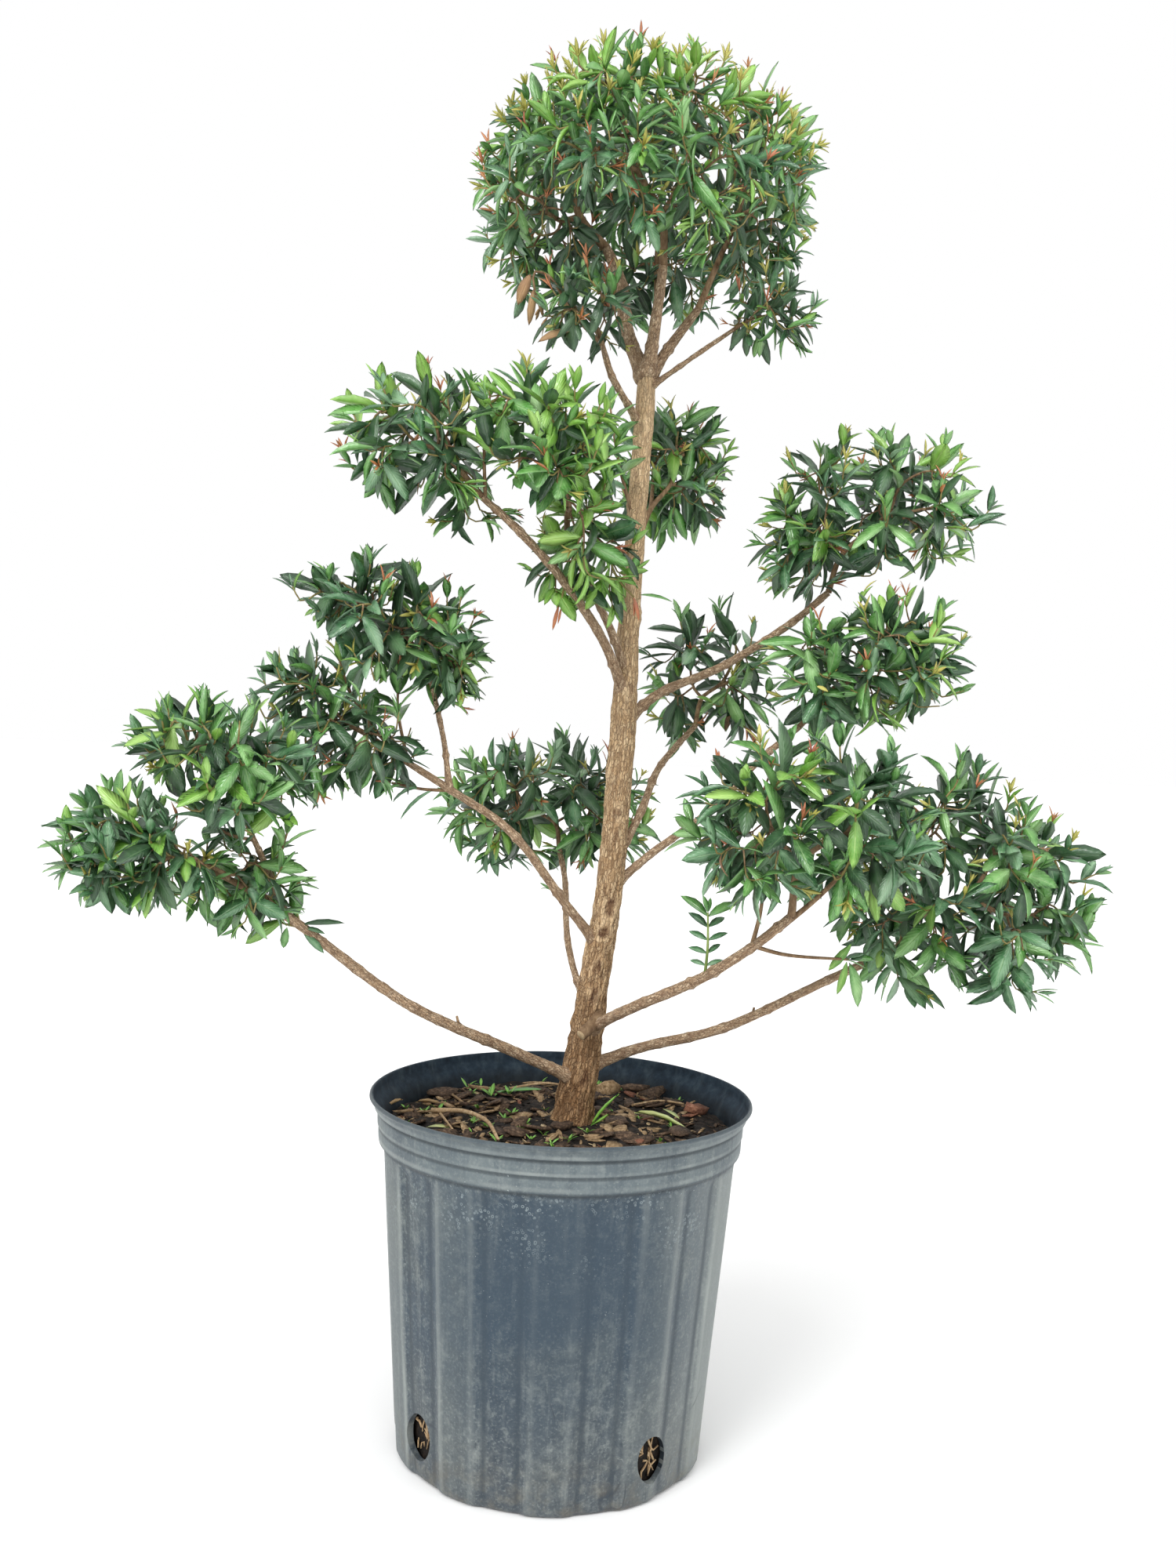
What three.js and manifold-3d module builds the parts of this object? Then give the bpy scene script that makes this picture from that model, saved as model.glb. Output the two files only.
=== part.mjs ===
// A pom-pom topiary in its nursery pot: a leaning trunk, long bare boughs, clipped masses of
// small leaves at their ends and a round ball of foliage at the top.
// Millimetres, +Z up, seen from -Y. The origin is the centre of the pot's flat underside.

import * as THREE from 'three';
import { mergeVertices } from 'three/addons/utils/BufferGeometryUtils.js';
import Module from 'manifold-3d';

const wasm = await Module();
wasm.setup();

// Driving dimensions

const gap = 0.3; // clear space between solids that touch in the real plant

const pot = {
  height: 280,
  rimRadius: 152.5,
  wallTopRadius: 141.5, // under the bands, where the flutes begin
  wallFootRadius: 124,
  fluteTop: 243,
  panels: 11, // raised panels, with as many recessed ones between them
  panelDepth: 2.5,
  flatShare: 0.76, // of a panel's width, the rest is the step to the next one
  wall: 3.2,
  floor: 3.5,
  holes: 4, // drain holes through the foot of the wall
  holeWidth: 28,
  holeHeight: 38,
  holeCentreHeight: 34,
  firstHoleBearing: -52, // degrees from +X
};

const soilLevel = 258;

const trunk = {
  flare: 3.5, // extra radius at the soil
  flareHeight: 16,
  // the centre line leans to the right, least near the top
  path: [
    [10, 0, soilLevel + gap], [15.5, 1, 312], [24.5, 3, 385], [31, 3, 440],
    [36, 3, 545], [39, 1, 690], [44, 0, 857],
  ],
  // height and radius: it narrows where boughs have left it
  girths: [[258, 14.5], [312, 13.6], [345, 12.5], [440, 10.7], [600, 9.9], [645, 8.1], [857, 7.5]],
  sides: 12,
};

// A bough leaves its parent at a height, or at a share of the parent's length, and runs
// through a few points. Radii are at the foot and at the tip.
const boughs = [
  { name: 'bough_low_left', on: 'trunk', height: 291, foot: 4.6, tip: 3.0,
    through: [[-39, -35, 320], [-117, -88, 364], [-189, -130, 424], [-212, -145, 443]] },
  { name: 'bough_low_left_rise', on: 'bough_low_left', share: 0.86, foot: 2.4, tip: 2.0,
    through: [[-212, -150, 468], [-222, -162, 494]] },
  { name: 'bough_mid_left', on: 'trunk', height: 398, foot: 3.9, tip: 2.6,
    through: [[-1, -12, 431], [-49, -30, 491], [-95, -40, 521], [-128, -48, 541]] },
  { name: 'bough_mid_left_arch', on: 'bough_mid_left', share: 0.76, foot: 2.3, tip: 1.9,
    through: [[-101, -45, 556], [-113, -52, 606]] },
  { name: 'bough_back', on: 'trunk', height: 342, foot: 2.9, tip: 2.2,
    through: [[1, 46, 392], [-4, 90, 444], [-10, 112, 468]] },
  { name: 'bough_upper_left_outer', on: 'trunk', height: 600, foot: 4.0, tip: 2.5,
    through: [[17, -33, 641], [-18, -75, 684], [-52, -97, 716], [-76, -97, 736]] },
  { name: 'bough_upper_left_inner', on: 'trunk', height: 618, foot: 3.4, tip: 2.5,
    through: [[22, -22, 652], [4, -36, 684], [-14, -52, 718]] },
  { name: 'bough_high_right', on: 'trunk', height: 578, foot: 4.0, tip: 2.7,
    through: [[66, 20, 604], [118, 45, 629], [175, 50, 668], [204, 47, 694]] },
  { name: 'bough_inner_right', on: 'trunk', height: 462, foot: 3.6, tip: 2.4,
    through: [[54, 15, 506], [70, 48, 543], [102, 82, 580]] },
  { name: 'bough_mid_right', on: 'trunk', height: 446, foot: 3.4, tip: 2.4,
    through: [[64, 12, 474], [111, 25, 510], [150, 24, 553], [180, 14, 582]] },
  { name: 'bough_low_right_front', on: 'trunk', height: 330, foot: 4.6, tip: 3.1,
    through: [[42, -40, 354], [102, -90, 394], [135, -112, 422], [158, -120, 444]] },
  { name: 'bough_low_right_back', on: 'trunk', height: 300, foot: 4.6, tip: 3.0,
    through: [[60, 11, 316], [128, 15, 334], [212, 2, 380], [262, -8, 408]] },
  { name: 'leader_left', on: 'trunk', height: 850, foot: 6.2, tip: 4.0,
    through: [[28, 9, 886], [19, 18, 934], [8, 22, 958]] },
  { name: 'leader_front', on: 'trunk', height: 853, foot: 5.4, tip: 3.4,
    through: [[48, -15, 892], [51, -32, 930]] },
  { name: 'leader_right', on: 'trunk', height: 849, foot: 4.6, tip: 3.0,
    through: [[64, 3, 882], [82, 4, 908]] },
  { name: 'leader_back', on: 'trunk', height: 847, foot: 4.4, tip: 3.0,
    through: [[48, 22, 888], [52, 44, 926]] },
  { name: 'side_shoot_right', on: 'trunk', height: 841, foot: 2.2, tip: 1.7,
    through: [[76, -14, 864], [108, -22, 886]] },
  { name: 'side_shoot_left', on: 'trunk', height: 812, foot: 3.0, tip: 2.2,
    through: [[16, -19, 846], [7, -28, 868]] },
];

const ball = { centre: [39, 0, 992], size: [149, 142, 122], underside: -0.8, shoots: 28 };

// A mass of foliage grows from the tip of its bough. A lobe is the space that it fills: an
// ellipsoid, with shoot tips spread over it from its top down to its underside. A point
// belongs to the mass that has the nearest home, which is the centre where none is given.
const masses = [
  { name: 'ball_left', from: 'leader_left', lobes: [{ home: [-34, 24, 990], ...ball }] },
  { name: 'ball_front', from: 'leader_front', lobes: [{ home: [48, -72, 990], ...ball }] },
  { name: 'ball_right', from: 'leader_right', lobes: [{ home: [118, 4, 988], ...ball }] },
  { name: 'ball_back', from: 'leader_back', lobes: [{ home: [48, 82, 990], ...ball }] },
  { name: 'ball_skirt_right', from: 'side_shoot_right',
    lobes: [{ centre: [136, -26, 898], size: [42, 40, 38], underside: -0.8, shoots: 3 }] },
  { name: 'ball_skirt_left', from: 'side_shoot_left',
    lobes: [{ centre: [-8, -40, 890], size: [48, 44, 48], underside: -0.6, shoots: 3 }] },
  { name: 'pad_upper_left_outer', from: 'bough_upper_left_outer',
    lobes: [
      { centre: [-121, -92, 779], size: [68, 62, 58], underside: -0.8, shoots: 7 },
      { centre: [-82, -98, 738], size: [44, 40, 38], underside: -0.9, shoots: 1 },
    ] },
  { name: 'pad_upper_left_inner', from: 'bough_upper_left_inner',
    lobes: [
      { centre: [-42, -110, 770], size: [76, 68, 63], underside: -0.8, shoots: 7 },
      { centre: [0, -64, 702], size: [50, 44, 56], underside: -0.9, shoots: 3 },
    ] },
  { name: 'pad_upper_back', from: 'trunk', height: 716,
    lobes: [{ centre: [75, 96, 795], size: [56, 60, 68], underside: -0.85, shoots: 6 }] },
  { name: 'pad_high_right', from: 'bough_high_right',
    lobes: [
      { centre: [240, 42, 768], size: [103, 86, 70], underside: -0.8, shoots: 8 },
      { centre: [184, 42, 722], size: [50, 46, 42], underside: -0.9, shoots: 2 },
    ] },
  { name: 'pad_mid_right', from: 'bough_mid_right',
    lobes: [{ centre: [230, 0, 634], size: [88, 80, 70], underside: -0.85, shoots: 8 }] },
  { name: 'pad_inner_right', from: 'bough_inner_right',
    lobes: [{ centre: [114, 102, 621], size: [66, 60, 76], underside: -0.85, shoots: 6 }] },
  { name: 'pad_mid_left_arch', from: 'bough_mid_left_arch',
    lobes: [
      { centre: [-155, -60, 641], size: [85, 68, 59], underside: -0.8, shoots: 7 },
      { centre: [-96, -46, 614], size: [30, 34, 42], underside: -0.9, shoots: 2 },
    ] },
  { name: 'pad_mid_left', from: 'bough_mid_left',
    lobes: [
      { centre: [-172, -62, 558], size: [64, 60, 58], underside: -0.85, shoots: 6 },
      { centre: [-208, -66, 594], size: [42, 40, 40], underside: -0.9, shoots: 1 },
    ] },
  { name: 'pad_low_left_top', from: 'bough_low_left_rise',
    lobes: [{ centre: [-243, -178, 529], size: [72, 66, 62], underside: -0.7, shoots: 7 }] },
  { name: 'pad_low_left', from: 'bough_low_left',
    lobes: [
      { centre: [-284, -186, 483], size: [64, 62, 50], underside: -0.9, shoots: 6 },
      { centre: [-224, -156, 456], size: [46, 42, 41], underside: -0.9, shoots: 2 },
    ] },
  { name: 'pad_back', from: 'bough_back',
    lobes: [{ centre: [-20, 149, 503], size: [110, 82, 72], underside: -0.85, shoots: 9 }] },
  { name: 'pad_low_right_front', from: 'bough_low_right_front',
    lobes: [{ centre: [166, -132, 511], size: [98, 86, 76], underside: -0.85, shoots: 8 }] },
  { name: 'pad_low_right', from: 'bough_low_right_back',
    lobes: [
      { centre: [316, -10, 455], size: [112, 92, 100], underside: -0.85, shoots: 10 },
      { centre: [300, -6, 534], size: [66, 50, 44], underside: -0.9, shoots: 1 },
    ] },
];

// Larger than life, because there are fewer of them than on the plant.
const leaf = { length: 55, width: 30, fold: 4, widestAt: 0.46 };
const shoot = {
  pairs: 4,
  firstPair: 2, // back from the tip
  spacing: 15,
  spread: [42, 54, 64, 72], // degrees between a leaf and the shoot, from the tip pair inwards
  reach: 33, // how far the tip pair goes past the shoot's tip
  sizes: [1.15, 1, 0.85, 0.7], // a leaf takes the largest that fits its place
};
const twig = {
  sides: 3,
  tipRadius: 1.9,
  thicken: 0.42, // power by which the radius grows with the shoots that a twig carries
  childShare: 0.5, // of its parent's radius, at most
  forkShare: 0.42, // of the way to the middle of its shoots, where a twig forks
  lift: 0.12, // how far a fork is raised, as a share of that way
};
const overshoot = 1.05; // how far leaves go past their space, as a share of it
const leafClearance = 0.8; // to limbs and to the space of another mass
const goldenAngle = Math.PI * (3 - Math.sqrt(5));

const barkMaterial = new THREE.MeshStandardMaterial({ color: 0x8a6f52, roughness: 0.9, metalness: 0 });
const leafMaterial = new THREE.MeshStandardMaterial({ color: 0x2f5a34, roughness: 0.45, metalness: 0 });
const potMaterial = new THREE.MeshStandardMaterial({ color: 0x4a5660, roughness: 0.6, metalness: 0 });
const soilMaterial = new THREE.MeshStandardMaterial({ color: 0x2c211a, roughness: 1, metalness: 0 });

// Solids and meshes

function solidOf(geometry) {
  const bare = geometry.clone();
  for (const name of ['normal', 'uv']) bare.deleteAttribute(name);
  const merged = mergeVertices(bare, 1e-4);
  const corners = [];
  for (let i = 0; i < merged.index.count; i += 3) {
    const [a, b, c] = [0, 1, 2].map((k) => merged.index.getX(i + k));
    if (a !== b && b !== c && c !== a) corners.push(a, b, c);
  }
  return new wasm.Manifold(new wasm.Mesh({
    numProp: 3,
    vertProperties: merged.attributes.position.array,
    triVerts: new Uint32Array(corners),
  }));
}

function geometryOf(solid) {
  const { vertProperties, triVerts } = solid.getMesh();
  return new THREE.BufferGeometry()
    .setAttribute('position', new THREE.BufferAttribute(vertProperties, 3))
    .setIndex(new THREE.BufferAttribute(triVerts, 1));
}

// The largest piece of a solid, so that a loose scrap is dropped.
function wholePiece(solid) {
  return solid.decompose().reduce((best, piece) => (piece.volume() > best.volume() ? piece : best));
}

function joined(solids) {
  let layer = solids;
  while (layer.length > 1) {
    const next = [];
    for (let i = 0; i < layer.length; i += 2)
      next.push(i + 1 < layer.length ? layer[i].add(layer[i + 1]) : layer[i]);
    layer = next;
  }
  return layer[0];
}

const topiary = new THREE.Group();

function addPart(name, geometry, material) {
  const mesh = new THREE.Mesh(geometry, material);
  mesh.name = name;
  topiary.add(mesh);
}

// Seeded random numbers, the same on each run (mulberry32).
function seededRandom(seed) {
  let state = seed;
  return () => {
    state = (state + 0x6d2b79f5) | 0;
    let t = Math.imul(state ^ (state >>> 15), 1 | state);
    t = (t + Math.imul(t ^ (t >>> 7), 61 | t)) ^ t;
    return ((t ^ (t >>> 14)) >>> 0) / 4294967296;
  };
}

const toVector = (p) => new THREE.Vector3(...p);

// Pot and soil

// Half of the pot's section, from the middle of its underside out, up, over the rim and back
// inside to the axis. Only the wall between the foot and the bands is fluted.
function potSection() {
  const { height, rimRadius, wallTopRadius, wallFootRadius, fluteTop, wall, floor } = pot;
  return [
    [0, 0], [wallFootRadius - 5, 0], [wallFootRadius, 5], [wallTopRadius, fluteTop],
    [wallTopRadius + 3, fluteTop + 2], [wallTopRadius + 4, fluteTop + 24], // bands
    [wallTopRadius + 7, fluteTop + 26], [rimRadius, height - 5], [rimRadius - 1, height], // lip
    [rimRadius - 5, height], [wallTopRadius - wall, fluteTop],
    [wallFootRadius - wall - pot.panelDepth, floor], [0, floor],
  ].map(([x, y]) => new THREE.Vector2(x, y));
}

// Two columns of points per panel, so that the short steps between panels are slanted.
function buildPot() {
  const columns = pot.panels * 4;
  const section = potSection();
  const fluted = [2, 3]; // of the section's points
  const geometry = new THREE.LatheGeometry(section, columns);
  geometry.rotateX(Math.PI / 2);
  const positions = geometry.attributes.position;
  for (let i = 0; i < positions.count; i++) {
    const column = Math.floor(i / section.length) % columns;
    const panel = Math.floor(column / 2);
    const recess = fluted.includes(i % section.length) && panel % 2 === 1 ? pot.panelDepth : 0;
    const radius = section[i % section.length].x - recess;
    const halfPanel = Math.PI / pot.panels / 2;
    const bearing = (panel * 2 + 1 + (column % 2 ? pot.flatShare : -pot.flatShare)) * halfPanel;
    positions.setXY(i, radius * Math.cos(bearing), radius * Math.sin(bearing));
  }
  let solid = solidOf(geometry);
  for (let i = 0; i < pot.holes; i++) {
    const bearing = THREE.MathUtils.degToRad(pot.firstHoleBearing + (360 / pot.holes) * i);
    const cutter = new THREE.CylinderGeometry(1, 1, 1, 10);
    cutter.scale(pot.holeWidth / 2, 40, pot.holeHeight / 2);
    cutter.rotateZ(-Math.PI / 2);
    cutter.translate(pot.wallFootRadius - 2, 0, pot.holeCentreHeight);
    cutter.rotateZ(bearing);
    solid = solid.subtract(solidOf(cutter));
  }
  addPart('pot', geometryOf(solid), potMaterial);
}

function buildSoil() {
  const inside = (z) => {
    const foot = pot.wallFootRadius - pot.wall - pot.panelDepth;
    const share = (z - pot.floor) / (pot.fluteTop - pot.floor);
    return THREE.MathUtils.lerp(foot, pot.wallTopRadius - pot.wall, Math.min(share, 1)) - gap - 0.4;
  };
  const bottom = pot.floor + gap;
  const section = [[0, bottom], [inside(bottom), bottom], [inside(soilLevel), soilLevel], [0, soilLevel]];
  const geometry = new THREE.LatheGeometry(section.map(([x, y]) => new THREE.Vector2(x, y)), 32);
  geometry.rotateX(Math.PI / 2);
  addPart('soil', geometryOf(solidOf(geometry)), soilMaterial);
}

// Limbs

// A closed, tapering limb along a curve, bent from a straight cylinder, with its rings at
// even steps of the curve's own parameter.
function limbGeometry(curve, radiusAt, sides, rings) {
  const geometry = new THREE.CylinderGeometry(1, 1, 1, sides, rings);
  const frames = [];
  let normal = new THREE.Vector3(0.31, -0.9, 0.2);
  for (let ring = 0; ring <= rings; ring++) {
    const along = curve.getTangent(ring / rings);
    normal = normal.clone().addScaledVector(along, -normal.dot(along)).normalize();
    frames.push({ centre: curve.getPoint(ring / rings), normal, side: along.clone().cross(normal) });
  }
  const positions = geometry.attributes.position;
  for (let i = 0; i < positions.count; i++) {
    const ring = Math.round((positions.getY(i) + 0.5) * rings);
    const { centre, normal: out, side } = frames[ring];
    const radius = radiusAt(ring / rings);
    const point = centre.clone()
      .addScaledVector(out, radius * positions.getX(i))
      .addScaledVector(side, -radius * positions.getZ(i));
    positions.setXYZ(i, point.x, point.y, point.z);
  }
  return geometry;
}

const limbs = new Map();

const limbSolid = ({ curve, radiusAt, sides, rings }, grow = 0) =>
  solidOf(limbGeometry(curve, (u) => radiusAt(u) + grow, sides, rings));

// Where a curve reaches a height, as a share of its parameter.
function shareAtHeight(curve, height) {
  const steps = 400;
  let best = 0;
  for (let i = 1; i <= steps; i++) {
    const off = Math.abs(curve.getPoint(i / steps).z - height);
    if (off < Math.abs(curve.getPoint(best).z - height)) best = i / steps;
  }
  return best;
}

function buildTrunk() {
  const curve = new THREE.CatmullRomCurve3(trunk.path.map(toVector), false, 'centripetal');
  const foot = curve.getPoint(0);
  const radiusAt = (u) => {
    const { z } = curve.getPoint(u);
    const above = trunk.girths.findIndex(([height]) => height > z);
    const [[z0, r0], [z1, r1]] = trunk.girths.slice(above < 1 ? -2 : above - 1).slice(0, 2);
    const girth = THREE.MathUtils.lerp(r0, r1, Math.min((z - z0) / (z1 - z0), 1));
    return girth + trunk.flare * Math.exp((foot.z - z) / trunk.flareHeight);
  };
  const limb = { curve, radiusAt, sides: trunk.sides, rings: (trunk.path.length - 1) * 3 };
  limbs.set('trunk', limb);
  const geometry = limbGeometry(curve, radiusAt, limb.sides, limb.rings);
  const positions = geometry.attributes.position;
  const firstRing = foot.z + radiusAt(0) / 2;
  for (let i = 0; i < positions.count; i++)
    if (positions.getZ(i) < firstRing) positions.setZ(i, foot.z); // cut level with the soil
  addPart('trunk', geometryOf(solidOf(geometry)), barkMaterial);
}

// A bough starts on its parent's centre line and is cut clear of every limb made before it.
function buildBough(bough) {
  const parent = limbs.get(bough.on);
  const start = parent.curve.getPoint(bough.share ?? shareAtHeight(parent.curve, bough.height));
  const path = [start, ...bough.through.map(toVector)];
  const limb = {
    curve: new THREE.CatmullRomCurve3(path, false, 'centripetal'),
    radiusAt: (u) => THREE.MathUtils.lerp(bough.foot, bough.tip, u),
    sides: 6,
    rings: (path.length - 1) * 2,
  };
  let solid = limbSolid(limb);
  for (const earlier of limbs.values()) solid = solid.subtract(limbSolid(earlier, gap));
  limbs.set(bough.name, limb);
  addPart(bough.name, geometryOf(wholePiece(solid)), barkMaterial);
}

// Foliage

const lobes = masses.flatMap((mass) => mass.lobes.map((lobe) => ({
  mass,
  centre: toVector(lobe.centre),
  home: toVector(lobe.home ?? lobe.centre),
  size: toVector(lobe.size),
})));

function ownsPoint(mass, point, margin) {
  let own = Infinity;
  let other = Infinity;
  for (const lobe of lobes) {
    const distance = lobe.home.distanceTo(point);
    if (lobe.mass === mass) own = Math.min(own, distance);
    else other = Math.min(other, distance);
  }
  return own + margin < other;
}

function insideSpace(mass, point) {
  const level = (lobe) => point.clone().sub(lobe.centre).divide(lobe.size).length();
  return lobes.some((lobe) => lobe.mass === mass && level(lobe) <= overshoot);
}

// Points along the centre lines of all limbs, each with the limb's radius.
function limbBeads() {
  const beads = [];
  for (const { curve, radiusAt } of limbs.values()) {
    const count = Math.ceil(curve.getLength() / 4);
    for (let i = 0; i <= count; i++)
      beads.push({ point: curve.getPoint(i / count), radius: radiusAt(i / count) });
  }
  return beads;
}

// Shoot tips spread evenly over each lobe of a mass, from its top down to its underside.
function shootTips(mass, random) {
  const tips = [];
  for (const lobe of mass.lobes) {
    const inner = toVector(lobe.size).subScalar(shoot.reach);
    for (let i = 0; i < lobe.shoots; i++) {
      const up = THREE.MathUtils.lerp(1, lobe.underside, (i + 0.5) / lobe.shoots);
      const turn = i * goldenAngle + lobe.centre[0];
      const flat = Math.sqrt(1 - up * up);
      const tip = new THREE.Vector3(Math.cos(turn) * flat, Math.sin(turn) * flat, up)
        .multiply(inner).multiplyScalar(0.88 + 0.12 * random()).add(toVector(lobe.centre));
      if (ownsPoint(mass, tip, 12)) tips.push(tip);
    }
  }
  return tips;
}

const meanOf = (points) =>
  points.reduce((sum, point) => sum.add(point), new THREE.Vector3()).divideScalar(points.length);

// The tips in two halves, split across the direction in which they spread most as seen from
// the fork. The half that lies straighter ahead comes first.
function halves(tips, fork, heading) {
  const ways = tips.map((tip) => tip.clone().sub(fork).normalize());
  const middle = meanOf(ways);
  let widest = { spread: -1 };
  for (const candidate of [[1, 0, 0], [0, 1, 0], [0, 0, 1], [1, 1, 0], [1, -1, 0], [1, 0, 1], [0, 1, 1]]) {
    const axis = toVector(candidate).normalize();
    const spread = ways.reduce((sum, way) => sum + way.clone().sub(middle).dot(axis) ** 2, 0);
    if (spread > widest.spread) widest = { spread, axis };
  }
  const ranked = tips.map((tip, i) => ({ tip, rank: ways[i].dot(widest.axis) }));
  const sorted = ranked.sort((a, b) => a.rank - b.rank).map(({ tip }) => tip);
  const half = Math.ceil(sorted.length / 2);
  const ahead = (part) => meanOf(part).sub(fork).normalize().dot(heading);
  return [sorted.slice(0, half), sorted.slice(half)].sort((a, b) => ahead(b) - ahead(a));
}

const twigRadius = (count) => twig.tipRadius * count ** twig.thicken;

// A twig runs from a point towards the middle of its tips and forks on the way. It goes on
// to one half of the tips, a new twig goes to the other half, and each ends at one tip.
function growTwigs(start, heading, tips, thickest, random, twigs) {
  const points = [start];
  const own = { points, radius: Math.min(twigRadius(tips.length), thickest) };
  twigs.push(own);
  let from = start;
  let ahead = heading;
  let left = tips;
  while (left.length > 1) {
    const way = meanOf(left).sub(from).multiplyScalar(twig.forkShare * (0.85 + 0.3 * random()));
    const fork = from.clone().add(way);
    fork.z += way.length() * twig.lift;
    ahead = fork.clone().sub(from).normalize();
    const [near, far] = halves(left, fork, ahead);
    points.push(fork);
    growTwigs(fork, ahead, far, own.radius * twig.childShare, random, twigs);
    from = fork;
    left = near;
  }
  points.push(left[0]);
}

// A twig is straight from fork to fork, so that its leaves' roots lie on its centre line.
function twigSolid({ points, radius }) {
  const rings = points.length - 1;
  const curve = {
    getPoint: (u) => points[Math.round(u * rings)],
    getTangent: (u) => {
      const at = Math.round(u * rings);
      const next = points[Math.min(at + 1, rings)];
      return next.clone().sub(points[Math.max(at - 1, 0)]).normalize();
    },
  };
  const radiusAt = (u) => THREE.MathUtils.lerp(radius, twig.tipRadius * 0.75, u);
  return solidOf(limbGeometry(curve, radiusAt, twig.sides, rings));
}

// One leaf of four faces: a kite folded up along its keel, root at the origin, along +X.
function leafGeometry() {
  const geometry = new THREE.TetrahedronGeometry(1);
  const positions = geometry.attributes.position;
  for (let i = 0; i < positions.count; i++) {
    const side = positions.getY(i) > 0 ? -Math.sign(positions.getX(i)) : 0;
    const end = positions.getZ(i) < 0 ? leaf.length : 0;
    if (side) positions.setXYZ(i, leaf.length * leaf.widestAt, (side * leaf.width) / 2, leaf.fold);
    else positions.setXYZ(i, end, 0, 0);
  }
  return geometry;
}

// The point at a distance back from a twig's tip, and the twig's direction there.
function backFromTip(points, distance) {
  let rest = distance;
  for (let i = points.length - 1; i > 0; i--) {
    const span = points[i].clone().sub(points[i - 1]);
    const length = span.length();
    const along = span.divideScalar(length);
    if (rest <= length) return { point: points[i].clone().addScaledVector(along, -rest), along };
    rest -= length;
  }
  return null;
}

// Opposite pairs of leaves back from a twig's tip, each pair turned across the last.
function leavesOf({ points }, random) {
  const placed = [];
  let across = new THREE.Vector3(Math.cos(6 * random()), Math.sin(6 * random()), 0.2);
  for (let pair = 0; pair < shoot.pairs; pair++) {
    const root = backFromTip(points, shoot.firstPair + shoot.spacing * pair);
    if (!root) break;
    const { point, along } = root;
    across = across.clone().cross(along).normalize();
    for (const side of [-1, 1]) {
      const spread = THREE.MathUtils.degToRad(shoot.spread[pair] + (random() - 0.5) * 16);
      const way = along.clone().multiplyScalar(Math.cos(spread));
      way.addScaledVector(across, side * Math.sin(spread));
      const upper = along.clone().addScaledVector(way, -along.dot(way)).normalize();
      placed.push(new THREE.Matrix4().makeBasis(way, upper.clone().cross(way), upper).setPosition(point));
    }
  }
  return placed;
}

// Points along a leaf's rib and both edges, which are tested against limbs and spaces.
function leafProbes() {
  const probes = [];
  for (let i = 2; i <= 12; i++) {
    const x = (leaf.length * i) / 12;
    const widest = leaf.length * leaf.widestAt;
    const share = x < widest ? x / widest : (leaf.length - x) / (leaf.length - widest);
    for (const side of [-1, 0, 1])
      probes.push(new THREE.Vector3(x, (side * share * leaf.width) / 2, Math.abs(side) * share * leaf.fold));
  }
  return probes;
}

// Whether a leaf runs through an earlier twig or leaf, other than where their roots meet.
function crosses(piece, leafSolid, placing) {
  const [a, b] = [piece.boundingBox(), leafSolid.boundingBox()];
  if ([0, 1, 2].some((k) => a.min[k] > b.max[k] || b.min[k] > a.max[k])) return false;
  const root = new THREE.Vector3().setFromMatrixPosition(placing);
  return piece.intersect(leafSolid).decompose().some((common) => {
    const { min, max } = common.boundingBox();
    return toVector(min).add(toVector(max)).divideScalar(2).distanceTo(root) > 6;
  });
}

function buildMass(mass, seed, beads, probes, leafShape) {
  const random = seededRandom(seed);
  const limb = limbs.get(mass.from);
  const onTrunk = mass.from === 'trunk';
  const foot = limb.curve.getPoint(onTrunk ? shareAtHeight(limb.curve, mass.height) : 1);
  const heading = onTrunk ? toVector(mass.lobes[0].centre).sub(foot).normalize() : limb.curve.getTangent(1);
  const stemFoot = foot.clone().addScaledVector(heading, onTrunk ? 0 : gap);
  const twigs = [];
  growTwigs(stemFoot, heading, shootTips(mass, random), onTrunk ? 4 : limb.radiusAt(1), random, twigs);

  const clear = (p) => beads.every((bead) => bead.point.distanceTo(p) > bead.radius + leafClearance);
  const fits = (p) => insideSpace(mass, p) && ownsPoint(mass, p, leafClearance) && clear(p);
  const pieces = twigs.map(twigSolid);
  twigs.forEach((own, i) => {
    for (const placing of leavesOf(own, random)) {
      for (const size of shoot.sizes) {
        const matrix = placing.clone().scale(new THREE.Vector3(size, size, size));
        if (!probes.every((probe) => fits(probe.clone().applyMatrix4(matrix)))) continue;
        const leafSolid = solidOf(leafShape.clone().applyMatrix4(matrix));
        if (pieces.some((piece, k) => k !== i && crosses(piece, leafSolid, placing))) continue;
        pieces.push(leafSolid);
        break;
      }
    }
  });
  const solid = joined(pieces).subtract(limbSolid(limb, gap));
  addPart(mass.name, geometryOf(wholePiece(solid)), leafMaterial);
}

// Assembly

buildPot();
buildSoil();
buildTrunk();
for (const bough of boughs) buildBough(bough);
const beads = limbBeads();
const probes = leafProbes();
const leafShape = leafGeometry();
masses.forEach((mass, i) => buildMass(mass, 101 + i, beads, probes, leafShape));

export default topiary;
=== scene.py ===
# A pom-pom topiary in a weathered nursery pot: fissured trunk, long boughs and clipped
# masses of small leaves. Metres, +Z up, seen from -Y, origin under the middle of the pot.
import math
from random import Random

import bmesh
import bpy
import numpy as np
from mathutils import Matrix, Vector, noise


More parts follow.
